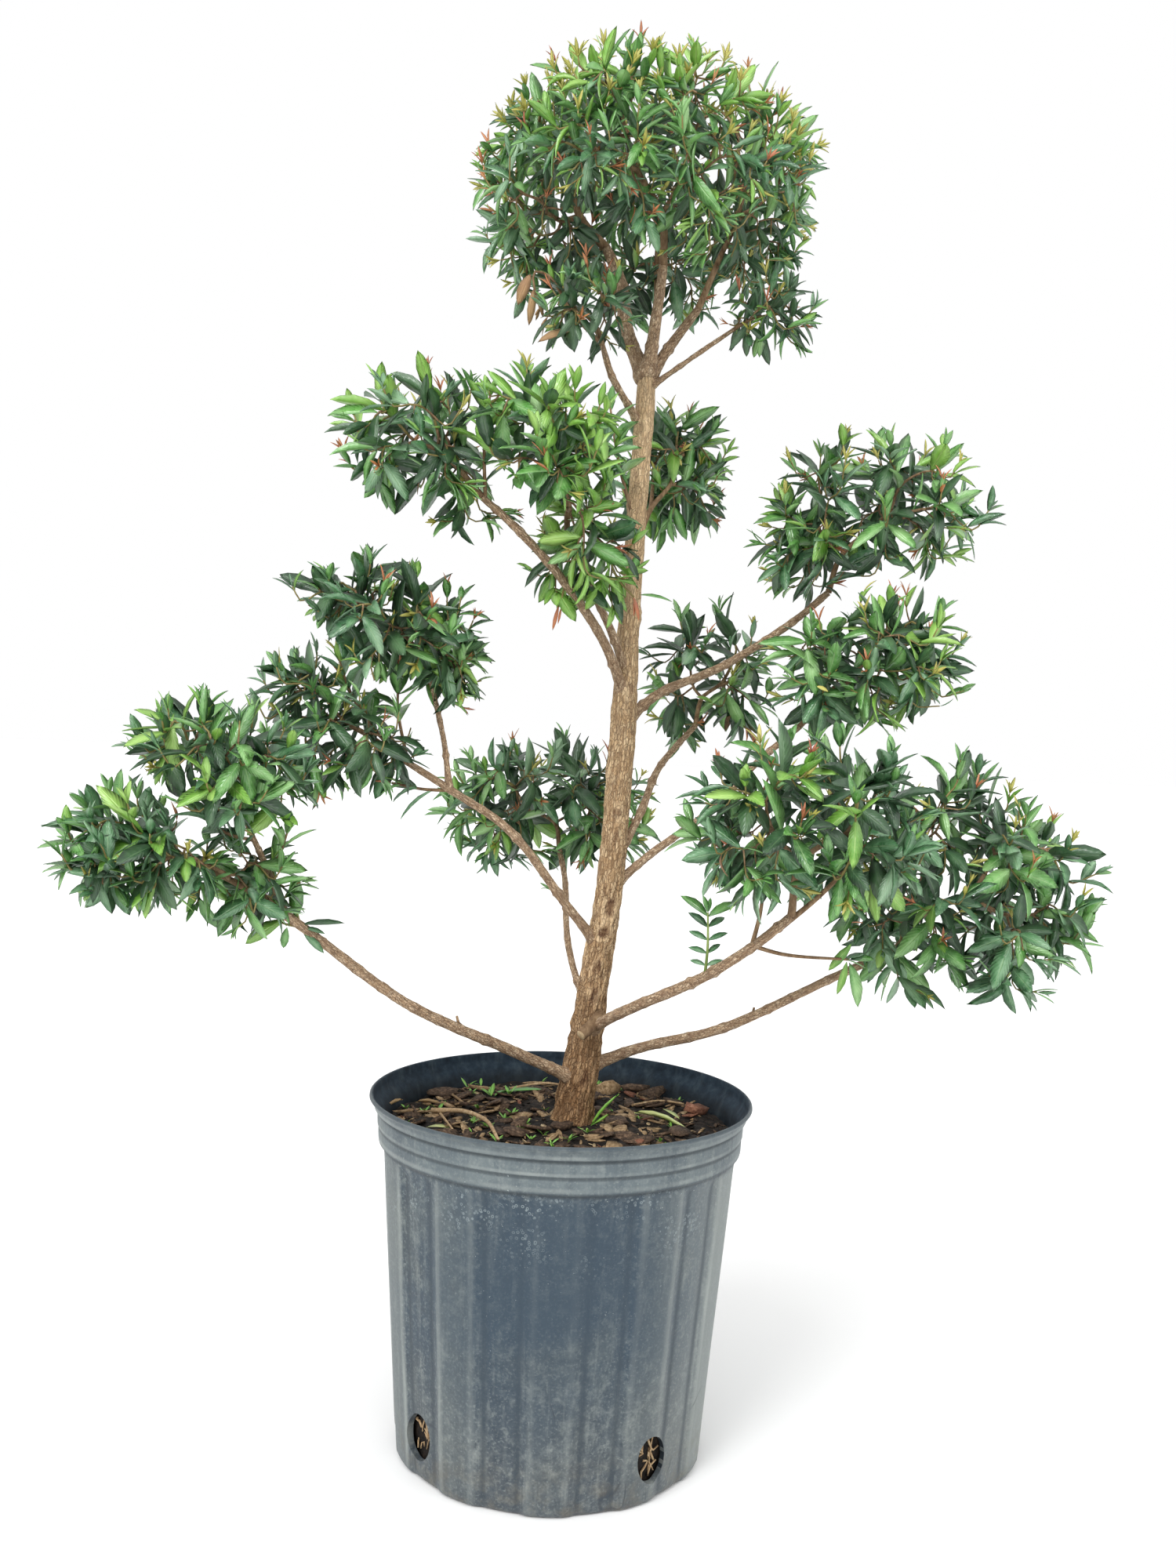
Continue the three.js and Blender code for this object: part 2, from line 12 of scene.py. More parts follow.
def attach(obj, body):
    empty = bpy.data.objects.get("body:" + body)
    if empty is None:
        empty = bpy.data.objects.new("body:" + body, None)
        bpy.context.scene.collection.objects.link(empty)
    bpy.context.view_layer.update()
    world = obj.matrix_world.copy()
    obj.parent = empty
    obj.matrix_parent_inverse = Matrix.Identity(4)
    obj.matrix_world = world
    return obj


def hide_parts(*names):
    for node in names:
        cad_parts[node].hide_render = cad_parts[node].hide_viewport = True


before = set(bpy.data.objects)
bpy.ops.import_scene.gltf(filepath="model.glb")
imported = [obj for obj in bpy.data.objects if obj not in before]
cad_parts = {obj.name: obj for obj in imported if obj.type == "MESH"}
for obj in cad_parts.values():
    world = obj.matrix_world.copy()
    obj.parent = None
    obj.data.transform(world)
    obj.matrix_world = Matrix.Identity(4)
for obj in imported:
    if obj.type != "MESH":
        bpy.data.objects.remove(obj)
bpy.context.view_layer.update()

mm = 0.001
fullTurn = 2 * math.pi
goldenAngle = math.pi * (3 - math.sqrt(5))

# Camera, floor and light

view = {
    "place": (-12.1 * mm, -1137 * mm, 566 * mm),
    "pitchDown": 1.87,
    "yawRight": 1.15,
    "roll": 2.41,
    "lens": 32.78,
    "sensor": 36,
    "nearest": 0.05,
}

light = {
    "skyStrength": 1.0,
    # direction that the light comes from, strength, softness in degrees
    "suns": [((-0.55, -0.75, 1.0), 1.5, 26), ((0.7, -0.35, 0.6), 0.55, 40)],
    "sunDistance": 3,
    "lamp": {"place": (-0.1, -1.3, 1.9), "size": 1.2, "power": 9},
    "aim": (0, 0, 0.6),
}

paper = {"size": 60, "height": -0.0004, "colour": (0.9, 0.9, 0.9, 1), "roughness": 0.95}


def deselectAll():
    if bpy.context.object and bpy.context.object.mode != "OBJECT":
        bpy.ops.object.mode_set(mode="OBJECT")
    bpy.ops.object.select_all(action="DESELECT")


def setUpCamera():
    yaw = math.radians(view["yawRight"])
    pitch = math.radians(view["pitchDown"])
    roll = math.radians(view["roll"])
    ahead = Vector((math.sin(yaw) * math.cos(pitch), math.cos(yaw) * math.cos(pitch), -math.sin(pitch)))
    right = Vector((math.cos(yaw), -math.sin(yaw), 0))
    up = right.cross(ahead)
    rolledRight = right * math.cos(roll) + up * math.sin(roll)
    rolledUp = up * math.cos(roll) - right * math.sin(roll)
    camera = bpy.data.objects.new("camera", bpy.data.cameras.new("camera"))
    bpy.context.collection.objects.link(camera)
    camera.data.lens = view["lens"]
    camera.data.sensor_width = view["sensor"]
    camera.data.clip_start = view["nearest"]
    camera.matrix_world = Matrix((
        (rolledRight.x, rolledUp.x, -ahead.x, view["place"][0]),
        (rolledRight.y, rolledUp.y, -ahead.y, view["place"][1]),
        (rolledRight.z, rolledUp.z, -ahead.z, view["place"][2]),
        (0, 0, 0, 1),
    ))
    bpy.context.scene.camera = camera


def hang(lamp, place):
    # puts a lamp at its place, aimed at the middle of the plant
    holder = bpy.data.objects.new(lamp.name, lamp)
    bpy.context.collection.objects.link(holder)
    holder.location = place
    holder.rotation_euler = (Vector(light["aim"]) - place).to_track_quat("-Z", "Y").to_euler()


def setUpLight():
    world = bpy.data.worlds.new("softSky")
    world.use_nodes = True
    sky = world.node_tree.nodes["Background"]
    sky.inputs["Color"].default_value = (1, 1, 1, 1)
    sky.inputs["Strength"].default_value = light["skyStrength"]
    bpy.context.scene.world = world
    for source, strength, softness in light["suns"]:
        lamp = bpy.data.lights.new("softSun", "SUN")
        lamp.energy = strength
        lamp.angle = math.radians(softness)
        hang(lamp, Vector(source) * light["sunDistance"])
    lamp = bpy.data.lights.new("softLamp", "AREA")
    lamp.size = light["lamp"]["size"]
    lamp.energy = light["lamp"]["power"]
    hang(lamp, Vector(light["lamp"]["place"]))
    bpy.context.scene.view_settings.view_transform = "Standard"


def layFloor():
    deselectAll()
    bpy.ops.mesh.primitive_plane_add(size=paper["size"], location=(0, 0, paper["height"]))
    floor = bpy.context.object
    floor.name = "floor"
    material = bpy.data.materials.new("palePaper")
    material.use_nodes = True
    shader = material.node_tree.nodes["Principled BSDF"]
    shader.inputs["Base Color"].default_value = paper["colour"]
    shader.inputs["Roughness"].default_value = paper["roughness"]
    floor.data.materials.append(material)


setUpCamera()
setUpLight()
layFloor()
print("camera, light and floor are set")

# Materials: a small kit for procedural finishes, then one function per finish


class Finish:
    # wraps one material's nodes: each method adds a node and returns its output socket

    def __init__(self, name, roughness, specular):
        self.material = bpy.data.materials.new(name)
        self.material.use_nodes = True
        self.tree = self.material.node_tree
        self.shader = self.tree.nodes["Principled BSDF"]
        self.shader.inputs["Roughness"].default_value = roughness
        self.shader.inputs["Specular IOR Level"].default_value = specular

    def node(self, kind, **settings):
        made = self.tree.nodes.new(kind)
        for key, value in settings.items():
            setattr(made, key, value)
        return made

    def feed(self, socket, value):
        if isinstance(value, bpy.types.NodeSocket):
            self.tree.links.new(value, socket)
        elif isinstance(value, tuple) and len(value) == 3 and socket.type == "RGBA":
            socket.default_value = (*value, 1)
        else:
            socket.default_value = value

    def objectPlace(self, scale=(1, 1, 1)):
        return self.mapped(self.node("ShaderNodeTexCoord").outputs["Object"], scale)

    def mapped(self, source, scale=(1, 1, 1), turn=(0, 0, 0)):
        mapping = self.node("ShaderNodeMapping")
        self.feed(mapping.inputs["Vector"], source)
        mapping.inputs["Scale"].default_value = scale
        mapping.inputs["Rotation"].default_value = turn
        return mapping.outputs["Vector"]

    def attribute(self, name):
        return self.node("ShaderNodeAttribute", attribute_name=name).outputs["Vector"]

    def noise(self, vector, scale, detail=4.0, roughness=0.55, distortion=0.0):
        made = self.node("ShaderNodeTexNoise")
        self.feed(made.inputs["Vector"], vector)
        made.inputs["Scale"].default_value = scale
        made.inputs["Detail"].default_value = detail
        made.inputs["Roughness"].default_value = roughness
        made.inputs["Distortion"].default_value = distortion
        return made.outputs["Fac"]

    def cells(self, vector, scale, feature="F1", output="Distance"):
        made = self.node("ShaderNodeTexVoronoi", feature=feature)
        self.feed(made.inputs["Vector"], vector)
        made.inputs["Scale"].default_value = scale
        return made.outputs[output]

    def push(self, vector, scale, reach):
        # a small shift, which varies from place to place with a coloured noise
        pattern = self.node("ShaderNodeTexNoise")
        self.feed(pattern.inputs["Vector"], vector)
        pattern.inputs["Scale"].default_value = scale
        made = self.node("ShaderNodeVectorMath", operation="SCALE")
        self.feed(made.inputs[0], pattern.outputs["Color"])
        made.inputs["Scale"].default_value = reach
        return made.outputs[0]

    def moved(self, vector, push):
        made = self.node("ShaderNodeVectorMath", operation="ADD")
        self.feed(made.inputs[0], vector)
        self.feed(made.inputs[1], push)
        return made.outputs[0]

    def distanceTo(self, vector, place):
        made = self.node("ShaderNodeVectorMath", operation="DISTANCE")
        self.feed(made.inputs[0], vector)
        made.inputs[1].default_value = place
        return made.outputs["Value"]

    def ramp(self, value, *stops):
        made = self.node("ShaderNodeValToRGB")
        self.feed(made.inputs["Fac"], value)
        elements = made.color_ramp.elements
        while len(elements) < len(stops):
            elements.new(0.5)
        for element, (place, colour) in zip(elements, stops):
            element.position = place
            element.color = (*colour, 1)
        return made.outputs["Color"]

    def mix(self, share, first, second, blend="MIX"):
        made = self.node("ShaderNodeMix", data_type="RGBA", blend_type=blend)
        sockets = [s for s in made.inputs if s.enabled]
        self.feed(sockets[0], share)
        self.feed(sockets[1], first)
        self.feed(sockets[2], second)
        return next(s for s in made.outputs if s.enabled)

    def math(self, operation, first, second=0.5):
        made = self.node("ShaderNodeMath", operation=operation)
        self.feed(made.inputs[0], first)
        self.feed(made.inputs[1], second)
        return made.outputs[0]

    def times(self, first, second):
        return self.math("MULTIPLY", first, second)

    def off(self, value, middle):
        # how far a value is from a middle one, either way
        return self.math("ABSOLUTE", self.math("SUBTRACT", value, middle))

    def part(self, vector, axis):
        made = self.node("ShaderNodeSeparateXYZ")
        self.feed(made.inputs[0], vector)
        return made.outputs[axis]

    def range(self, value, low, high, outLow=0.0, outHigh=1.0):
        made = self.node("ShaderNodeMapRange")
        self.feed(made.inputs["Value"], value)
        made.inputs["From Min"].default_value = low
        made.inputs["From Max"].default_value = high
        made.inputs["To Min"].default_value = outLow
        made.inputs["To Max"].default_value = outHigh
        return made.outputs["Result"]

    def wash(self, tone, colour, value, low, high, share, where=None):
        # lays a colour over the tone, from none at the low value to its full share at the high one
        cover = self.range(value, low, high, 0, share)
        return self.mix(cover if where is None else self.times(cover, where), tone, colour)

    def bump(self, height, strength, distance):
        made = self.node("ShaderNodeBump")
        self.feed(made.inputs["Height"], height)
        made.inputs["Strength"].default_value = strength
        made.inputs["Distance"].default_value = distance
        self.feed(self.shader.inputs["Normal"], made.outputs["Normal"])

    def colour(self, value):
        self.feed(self.shader.inputs["Base Color"], value)

    def roughness(self, value):
        self.feed(self.shader.inputs["Roughness"], value)


def rgb(red, green, blue):
    # an 8-bit screen colour as linear light
    def linear(level):
        share = level / 255
        return share / 12.92 if share <= 0.04045 else ((share + 0.055) / 1.055) ** 2.4
    return (linear(red), linear(green), linear(blue))


def between(first, second, share):
    # a plain colour part way between two
    return tuple(a + (b - a) * share for a, b in zip(first, second))


def barkFinish(name, colours, grain, footColour=None):
    # colours: groove, middle, ridge and scar
    finish = Finish(name, 0.85, 0.25)
    groove, middle, ridge, scarTone = (rgb(*colour) for colour in colours)
    rod = finish.attribute("rodPlace")
    relief = finish.attribute("relief")
    raised = finish.part(relief, 0)
    crack = finish.part(relief, 1)
    scar = finish.part(relief, 2)
    streaks = finish.noise(finish.mapped(rod, (1, 1, 0.35)), grain, 6, 0.65, 0.3)
    fine = finish.noise(finish.mapped(rod, (1, 1, 0.5)), grain * 3.4, 4, 0.65)
    broad = finish.noise(rod, 42, 4, 0.55)
    # small plates with wavering edges, each at its own level
    plate = finish.moved(finish.mapped(rod, (1, 1, 0.42)), finish.push(rod, grain * 0.7, 0.0022))
    edges = finish.cells(plate, grain * 1.5, "DISTANCE_TO_EDGE")
    levels = finish.part(finish.cells(plate, grain * 1.5, output="Color"), 0)
    tone = finish.ramp(streaks, (0.32, between(groove, middle, 0.62)), (0.48, middle),
                       (0.66, between(middle, ridge, 0.8)))
    tone = finish.wash(tone, ridge, levels, 0.55, 1.0, 0.75)
    tone = finish.wash(tone, between(groove, middle, 0.4), levels, 0.4, 0.0, 0.4)
    # the edges of the plates, where the cracks run, are darker: partly the bark's own dark cracks, partly
    # painted shade
    tone = finish.wash(tone, groove, edges, 0.09, 0.02, 0.72)
    tone = finish.wash(tone, ridge, fine, 0.52, 0.74, 0.6)
    tone = finish.wash(tone, groove, fine, 0.45, 0.3, 0.6)
    # the cracks of the relief are darker: partly the bark's own colour, partly painted shade
    tone = finish.wash(tone, groove, crack, 0.35, 0.95, 0.6)
    tone = finish.wash(tone, ridge, raised, 0.25, 1.3, 0.5)
    tone = finish.wash(tone, between(groove, middle, 0.6), broad, 0.45, 0.68, 0.4)
    # a knot is dark, and lighter where its middle has healed
    tone = finish.wash(tone, scarTone, scar, 0.08, 0.6, 1, finish.range(streaks, 0.62, 0.4, 0.3, 0.95))
    tone = finish.wash(tone, between(scarTone, middle, 0.45), scar, 0.8, 1.0, 0.8,
                       finish.range(fine, 0.35, 0.6, 0.4, 1))
    if footColour:
        height = finish.part(finish.objectPlace(), 2)
        tone = finish.mix(finish.range(height, 0.42, 0.29, 0, 0.85), tone, rgb(*footColour), "MULTIPLY")
        tone = finish.wash(tone, ridge, height, 0.48, 0.78, 0.3)
    finish.colour(tone)
    finish.roughness(finish.range(streaks, 0.3, 0.7, 0.95, 0.75))
    plates = finish.times(finish.range(edges, 0, 0.16), finish.range(levels, 0, 1, 0.5, 1.2))
    finish.bump(finish.math("ADD", finish.math("ADD", streaks, fine), plates), 0.9, 0.0008)
    return finish.material


def leafFinish(name, colours, roughness):
    # colours: deep, main, pale and rib
    finish = Finish(name, roughness, 0.95)
    deep, main, pale, rib = (rgb(*colour) for colour in colours)
    place = finish.objectPlace()
    sheet = finish.node("ShaderNodeUVMap", uv_map="leafPlace").outputs["UV"]
    along = finish.part(sheet, 0)
    offRib = finish.off(finish.part(sheet, 1), 0.5)
    patches = finish.noise(place, 22, 3, 0.6)
    mottle = finish.noise(place, 210, 4, 0.6)
    tone = finish.ramp(patches, (0.32, deep), (0.5, main), (0.7, pale))
    tone = finish.wash(tone, pale, mottle, 0.4, 0.75, 0.4)
    tone = finish.wash(tone, pale, along, 0.86, 1.0, 0.3)
    tone = finish.wash(tone, rib, offRib, 0.05, 0.015, 0.5)
    finish.colour(tone)
    finish.roughness(finish.range(mottle, 0.3, 0.75, roughness - 0.06, roughness + 0.14))
    # side veins run forward from the rib to the edge
    slanted = finish.math("SUBTRACT", along, finish.times(offRib, 0.5))
    veins = finish.math("SINE", finish.times(slanted, 75))
    groove = finish.range(offRib, 0.0, 0.07, -3.0, 0.0)
    finish.bump(finish.math("ADD", finish.times(veins, 0.25), groove), 0.5, 0.0003)
    return finish.material


def plainGrain(name, colours, scale, roughness, stretch=(1, 1, 1), depth=0.0004):
    # colours: dark, middle and pale
    finish = Finish(name, roughness, 0.3)
    dark, middle, pale = (rgb(*colour) for colour in colours)
    place = finish.objectPlace(stretch)
    grain = finish.noise(place, scale, 6, 0.62, 0.2)
    broad = finish.noise(place, scale * 0.16, 3, 0.5)
    tone = finish.ramp(grain, (0.3, dark), (0.5, middle), (0.72, pale))
    finish.colour(finish.wash(tone, dark, broad, 0.35, 0.7, 0.5))
    finish.roughness(finish.range(grain, 0.3, 0.7, min(roughness + 0.1, 1), roughness - 0.12))
    finish.bump(grain, 0.6, depth)
    return finish.material


def potFinish():
    # the outside of the pot: its weathering, with painted reflection and painted shade
    finish = Finish("weatheredPlasticWithPaintedLight", 0.55, 0.4)
    finish.shader.inputs["Sheen Weight"].default_value = 0.1
    finish.shader.inputs["Sheen Roughness"].default_value = 0.45
    finish.shader.inputs["Sheen Tint"].default_value = (0.82, 0.87, 0.86, 1)
    place = finish.objectPlace()
    eastward = finish.part(place, 0)
    northward = finish.part(place, 1)
    height = finish.part(place, 2)
    bearing = finish.math("ARCTAN2", northward, eastward)
    flute = finish.math("SINE", finish.times(bearing, pot["panels"]))
    onWall = finish.times(finish.range(height, 0.244, 0.236), finish.range(height, 0.0, 0.012, 0.3, 1))
    streaks = finish.noise(finish.mapped(place, (1, 1, 0.07)), 46, 6, 0.62, 0.4)
    narrow = finish.noise(finish.mapped(place, (1, 1, 0.035)), 170, 3, 0.6)
    clouds = finish.noise(place, 13, 5, 0.6, 0.6)
    mottle = finish.noise(place, 120, 5, 0.65)
    grit = finish.noise(place, 520, 2, 0.5)
    # pale chalk, which also serves below for the painted reflection on the right side
    chalkAndSheen = rgb(146, 152, 148)
    tone = finish.ramp(streaks, (0.3, rgb(44, 56, 66)), (0.48, rgb(60, 72, 81)), (0.64, rgb(74, 85, 91)),
                       (0.8, rgb(96, 106, 109)))
    tone = finish.wash(tone, rgb(46, 63, 78), clouds, 0.62, 0.4, 0.5)
    tone = finish.wash(tone, rgb(88, 94, 91), clouds, 0.52, 0.7, 0.45)
    tone = finish.wash(tone, rgb(84, 87, 87), height, 0.13, 0.02, 0.5)
    tone = finish.wash(tone, chalkAndSheen, narrow, 0.54, 0.8, 0.45)
    tone = finish.wash(tone, chalkAndSheen, mottle, 0.5, 0.72, 0.45)
    tone = finish.wash(tone, rgb(42, 53, 62), mottle, 0.46, 0.32, 0.7)
    tone = finish.wash(tone, chalkAndSheen, grit, 0.55, 0.75, 0.4)
    tone = finish.wash(tone, rgb(42, 52, 60), grit, 0.45, 0.3, 0.4)
    # painted reflection: the raised panels are paler and carry a pale line along their edges, both less on
    # the front, and the right side is paler too, as the plastic looks where it reflects light at a slant;
    # painted shade darkens the step beside the line
    side = finish.range(finish.math("ABSOLUTE", eastward), 0.045, 0.1, 0.22, 1)
    side = finish.math("MAXIMUM", side, finish.range(northward, -0.03, 0.03))
    flutedWall = finish.times(onWall, side)
    tone = finish.wash(tone, rgb(112, 119, 117), flute, 0.2, 0.6, 0.4, flutedWall)
    tone = finish.wash(tone, chalkAndSheen, eastward, 0.07, 0.115, 0.4, onWall)
    broken = finish.times(finish.range(streaks, 0.36, 0.62, 0.25, 1), flutedWall)
    tone = finish.wash(tone, rgb(150, 156, 152), finish.off(flute, 0.34), 0.3, 0.08, 0.75, broken)
    # painted shade: a dark line where each raised panel steps down into its recess
    tone = finish.wash(tone, rgb(46, 56, 64), finish.off(flute, -0.42), 0.3, 0.06, 0.7, onWall)
    # painted shade: a darker, bluer stretch on the front, which lacks the reflection painted on the flanks
    front = finish.distanceTo(place, (-0.004, -0.14, 0.18))
    ragged = finish.math("ADD", front, finish.times(clouds, 0.09))
    tone = finish.wash(tone, rgb(42, 59, 73), ragged, 0.19, 0.08, 0.75, onWall)
    # the lip and bands are chalkier, with painted shade as a dark line in each of their grooves and a painted
    # highlight as a pale one above each
    streaked = finish.range(streaks, 0.35, 0.6, 0.5, 1)
    tone = finish.wash(tone, rgb(118, 127, 127), height, 0.241, 0.246, 0.55, streaked)
    for grooveHeight, half in pot["grooves"]:
        groove = finish.off(height, grooveHeight * mm)
        tone = finish.wash(tone, rgb(38, 46, 52), groove, half * mm * 1.8, half * mm * 0.6, 0.6)
        above = finish.off(height, (grooveHeight + half * 2.6) * mm)
        tone = finish.wash(tone, rgb(156, 162, 158), above, half * mm * 1.5, half * mm * 0.4, 0.42,
                           finish.range(clouds, 0.4, 0.56, 0.2, 1))
    # dried water spots under the bands, and specks that are thicker higher up
    spotted = finish.times(finish.range(height, 0.175, 0.232), onWall)
    spotted = finish.times(spotted, finish.range(finish.noise(place, 34, 3, 0.6), 0.46, 0.6, 0.05, 1))
    rings = finish.off(finish.cells(place, 290), 0.26)
    tone = finish.wash(tone, rgb(156, 168, 170), rings, 0.12, 0.04, 0.5, spotted)
    tone = finish.wash(tone, rgb(176, 184, 182), finish.noise(place, 420, 3, 0.7), 0.68, 0.74, 0.8,
                       finish.range(height, 0.04, 0.22, 0.12, 0.8))
    # scuffs: thin dark strokes on the lower half
    strokes = finish.noise(finish.mapped(place, (1, 1, 0.45), (0.3, 0.1, 0.2)), 17, 1, 0.4, 0.8)
    scuffed = finish.times(finish.range(height, 0.12, 0.09),
                           finish.range(finish.noise(place, 24, 2, 0.5), 0.52, 0.6, 0, 0.7))
    tone = finish.wash(tone, rgb(46, 54, 62), finish.off(strokes, 0.5), 0.006, 0.002, 1, scuffed)
    # splashed soil near the foot, and painted shade darkening the inner edge of the lip
    splashed = finish.range(finish.noise(place, 60, 4, 0.6), 0.45, 0.65)
    tone = finish.wash(tone, rgb(88, 80, 66), height, 0.05, 0.0, 0.55, splashed)
    tone = finish.wash(tone, rgb(34, 46, 56), height, 0.2768, 0.2788, 0.6)
    finish.colour(tone)
    finish.roughness(finish.range(mottle, 0.3, 0.75, 0.46, 0.78))
    finish.bump(finish.math("ADD", mottle, finish.times(grit, 0.35)), 0.35, 0.0006)
    return finish.material


def potInsideFinish():
    # the inside of the pot, in darker tones than the outside: painted shade
    finish = Finish("paintedShadeInsidePlastic", 0.6, 0.12)
    place = finish.objectPlace()
    mottle = finish.noise(place, 120, 5, 0.65)
    runs = finish.noise(finish.mapped(place, (1, 1, 0.1)), 90, 4, 0.6)
    height = finish.part(place, 2)
    tone = finish.ramp(mottle, (0.3, rgb(24, 34, 44)), (0.5, rgb(38, 51, 63)), (0.72, rgb(58, 71, 81)))
    tone = finish.wash(tone, rgb(84, 96, 102), runs, 0.52, 0.72, 0.4)
    tone = finish.wash(tone, rgb(34, 32, 28), height, 0.268, 0.259, 0.5)
    finish.colour(tone)
    finish.roughness(finish.range(mottle, 0.3, 0.7, 0.5, 0.72))
    finish.bump(mottle, 0.3, 0.0005)
    return finish.material


# Curves and limbs, with the same values as the solids, in millimetres


def curveThrough(points):
    # a centripetal spline through the points, by its parameter from 0 to 1
    knots = [np.array(p, float) for p in points]
    padded = [2 * knots[0] - knots[1], *knots, 2 * knots[-1] - knots[-2]]

    def at(share):
        place = min(max(share, 0.0), 1.0) * (len(knots) - 1)
        index = min(int(place), len(knots) - 2)
        rest = place - index
        p0, p1, p2, p3 = padded[index:index + 4]
        d0, d1, d2 = (max(np.linalg.norm(b - a), 1e-4) ** 0.5 for a, b in ((p0, p1), (p1, p2), (p2, p3)))
        leave = ((p1 - p0) / d0 - (p2 - p0) / (d0 + d1) + (p2 - p1) / d1) * d1
        arrive = ((p2 - p1) / d1 - (p3 - p1) / (d1 + d2) + (p3 - p2) / d2) * d1
        return (p1 + leave * rest + (-3 * p1 + 3 * p2 - 2 * leave - arrive) * rest ** 2
                + (2 * p1 - 2 * p2 + leave + arrive) * rest ** 3)
    return at


def lengthsAlong(points):
    # how far along the line each of its points lies
    return np.concatenate([[0], np.cumsum(np.linalg.norm(np.diff(points, axis=0), axis=1))])


def sampled(at, spacing):
    # a curve's parameters, points and lengths at about even steps
    steps = 120
    lengths = lengthsAlong(np.array([at(i / steps) for i in range(steps + 1)]))
    count = max(int(math.ceil(lengths[-1] / spacing)), 2)
    wanted = np.linspace(0, lengths[-1], count + 1)
    shares = np.interp(wanted, lengths, np.linspace(0, 1, steps + 1))
    return shares, np.array([at(share) for share in shares]), wanted


def framesAlong(points):
    # a direction and two crossing directions at each point, without twist
    ways = np.gradient(points, axis=0)
    ways /= np.linalg.norm(ways, axis=1)[:, None]
    outs = np.zeros_like(ways)
    out = np.array([0.31, -0.9, 0.2])
    for i, way in enumerate(ways):
        out = out - way * np.dot(out, way)
        out /= np.linalg.norm(out)
        outs[i] = out
    return ways, outs, np.cross(ways, outs)


trunk = {
    "flare": 3.5,
    "flareHeight": 16,
    "path": [(10, 0, 258.3), (15.5, 1, 312), (24.5, 3, 385), (31, 3, 440), (36, 3, 545), (39, 1, 690),
             (44, 0, 857)],
    "girths": [(258, 14.5), (312, 13.6), (345, 12.5), (440, 10.7), (600, 9.9), (645, 8.1), (857, 7.5)],
    "sides": 112,
    "ringSpacing": 1.1,
    # within this height of the foot no bark dips below the flat cut
    "levelFoot": 6,
    # how far a knot reaches: in millimetres of height, and in its own radii
    "knotReach": (16, 2.4),
    # scars of cut shoots: height, bearing from +X, radius
    "knots": [(411, -89, 5.2), (385, -94, 4.0), (363, -86, 4.4), (507, -89, 4.2), (488, -88, 3.2),
              (431, -80, 5.4), (296, -77, 5.6), (605, -75, 4.2), (750, -150, 3.6), (687, -109, 4.2),
              (810, -109, 4.6), (774, -121, 3.6), (334, 62, 5.0), (462, 118, 4.6), (560, 40, 4.2),
              (645, 150, 4.0), (724, 75, 3.8), (398, 178, 4.6), (540, -160, 3.6), (664, -12, 3.6)],
}

boughBuild = {
    "sides": 20,
    "ringSpacing": 1.9,
    # the collar at the foot: its share of the foot's radius, and how soon it is gone
    "collar": (0.5, 5.5),
    # swollen nodes: least and most distance to the first, between two, and how near to the tip
    "firstNode": (12, 26),
    "nodeGap": (22, 42),
    "lastNode": 8,
    "barkSeeds": 40,
}

boughs = [
    # name, parent, height or share along it, foot and tip radius, points on the way
    ("bough_low_left", "trunk", 291, 4.6, 3.0,
     [(-39, -35, 320), (-117, -88, 364), (-189, -130, 424), (-212, -145, 443)]),
    ("bough_low_left_rise", "bough_low_left", 0.86, 2.4, 2.0, [(-212, -150, 468), (-222, -162, 494)]),
    ("bough_mid_left", "trunk", 398, 3.9, 2.6,
     [(-1, -12, 431), (-49, -30, 491), (-95, -40, 521), (-128, -48, 541)]),
    ("bough_mid_left_arch", "bough_mid_left", 0.76, 2.3, 1.9, [(-101, -45, 556), (-113, -52, 606)]),
    ("bough_back", "trunk", 342, 2.9, 2.2, [(1, 46, 392), (-4, 90, 444), (-10, 112, 468)]),
    ("bough_upper_left_outer", "trunk", 600, 4.0, 2.5,
     [(17, -33, 641), (-18, -75, 684), (-52, -97, 716), (-76, -97, 736)]),
    ("bough_upper_left_inner", "trunk", 618, 3.4, 2.5, [(22, -22, 652), (4, -36, 684), (-14, -52, 718)]),
    ("bough_high_right", "trunk", 578, 4.0, 2.7,
     [(66, 20, 604), (118, 45, 629), (175, 50, 668), (204, 47, 694)]),
    ("bough_inner_right", "trunk", 462, 3.6, 2.4, [(54, 15, 506), (70, 48, 543), (102, 82, 580)]),
    ("bough_mid_right", "trunk", 446, 3.4, 2.4,
     [(64, 12, 474), (111, 25, 510), (150, 24, 553), (180, 14, 582)]),
    ("bough_low_right_front", "trunk", 330, 4.6, 3.1,
     [(42, -40, 354), (102, -90, 394), (135, -112, 422), (158, -120, 444)]),
    ("bough_low_right_back", "trunk", 300, 4.6, 3.0,
     [(60, 11, 316), (128, 15, 334), (212, 2, 380), (262, -8, 408)]),
    ("leader_left", "trunk", 850, 6.2, 4.0, [(28, 9, 886), (19, 18, 934), (8, 22, 958)]),
    ("leader_front", "trunk", 853, 5.4, 3.4, [(48, -15, 892), (51, -32, 930)]),
    ("leader_right", "trunk", 849, 4.6, 3.0, [(64, 3, 882), (82, 4, 908)]),
    ("leader_back", "trunk", 847, 4.4, 3.0, [(48, 22, 888), (52, 44, 926)]),
    ("side_shoot_right", "trunk", 841, 2.2, 1.7, [(76, -14, 864), (108, -22, 886)]),
    ("side_shoot_left", "trunk", 812, 3.0, 2.2, [(16, -19, 846), (7, -28, 868)]),
]

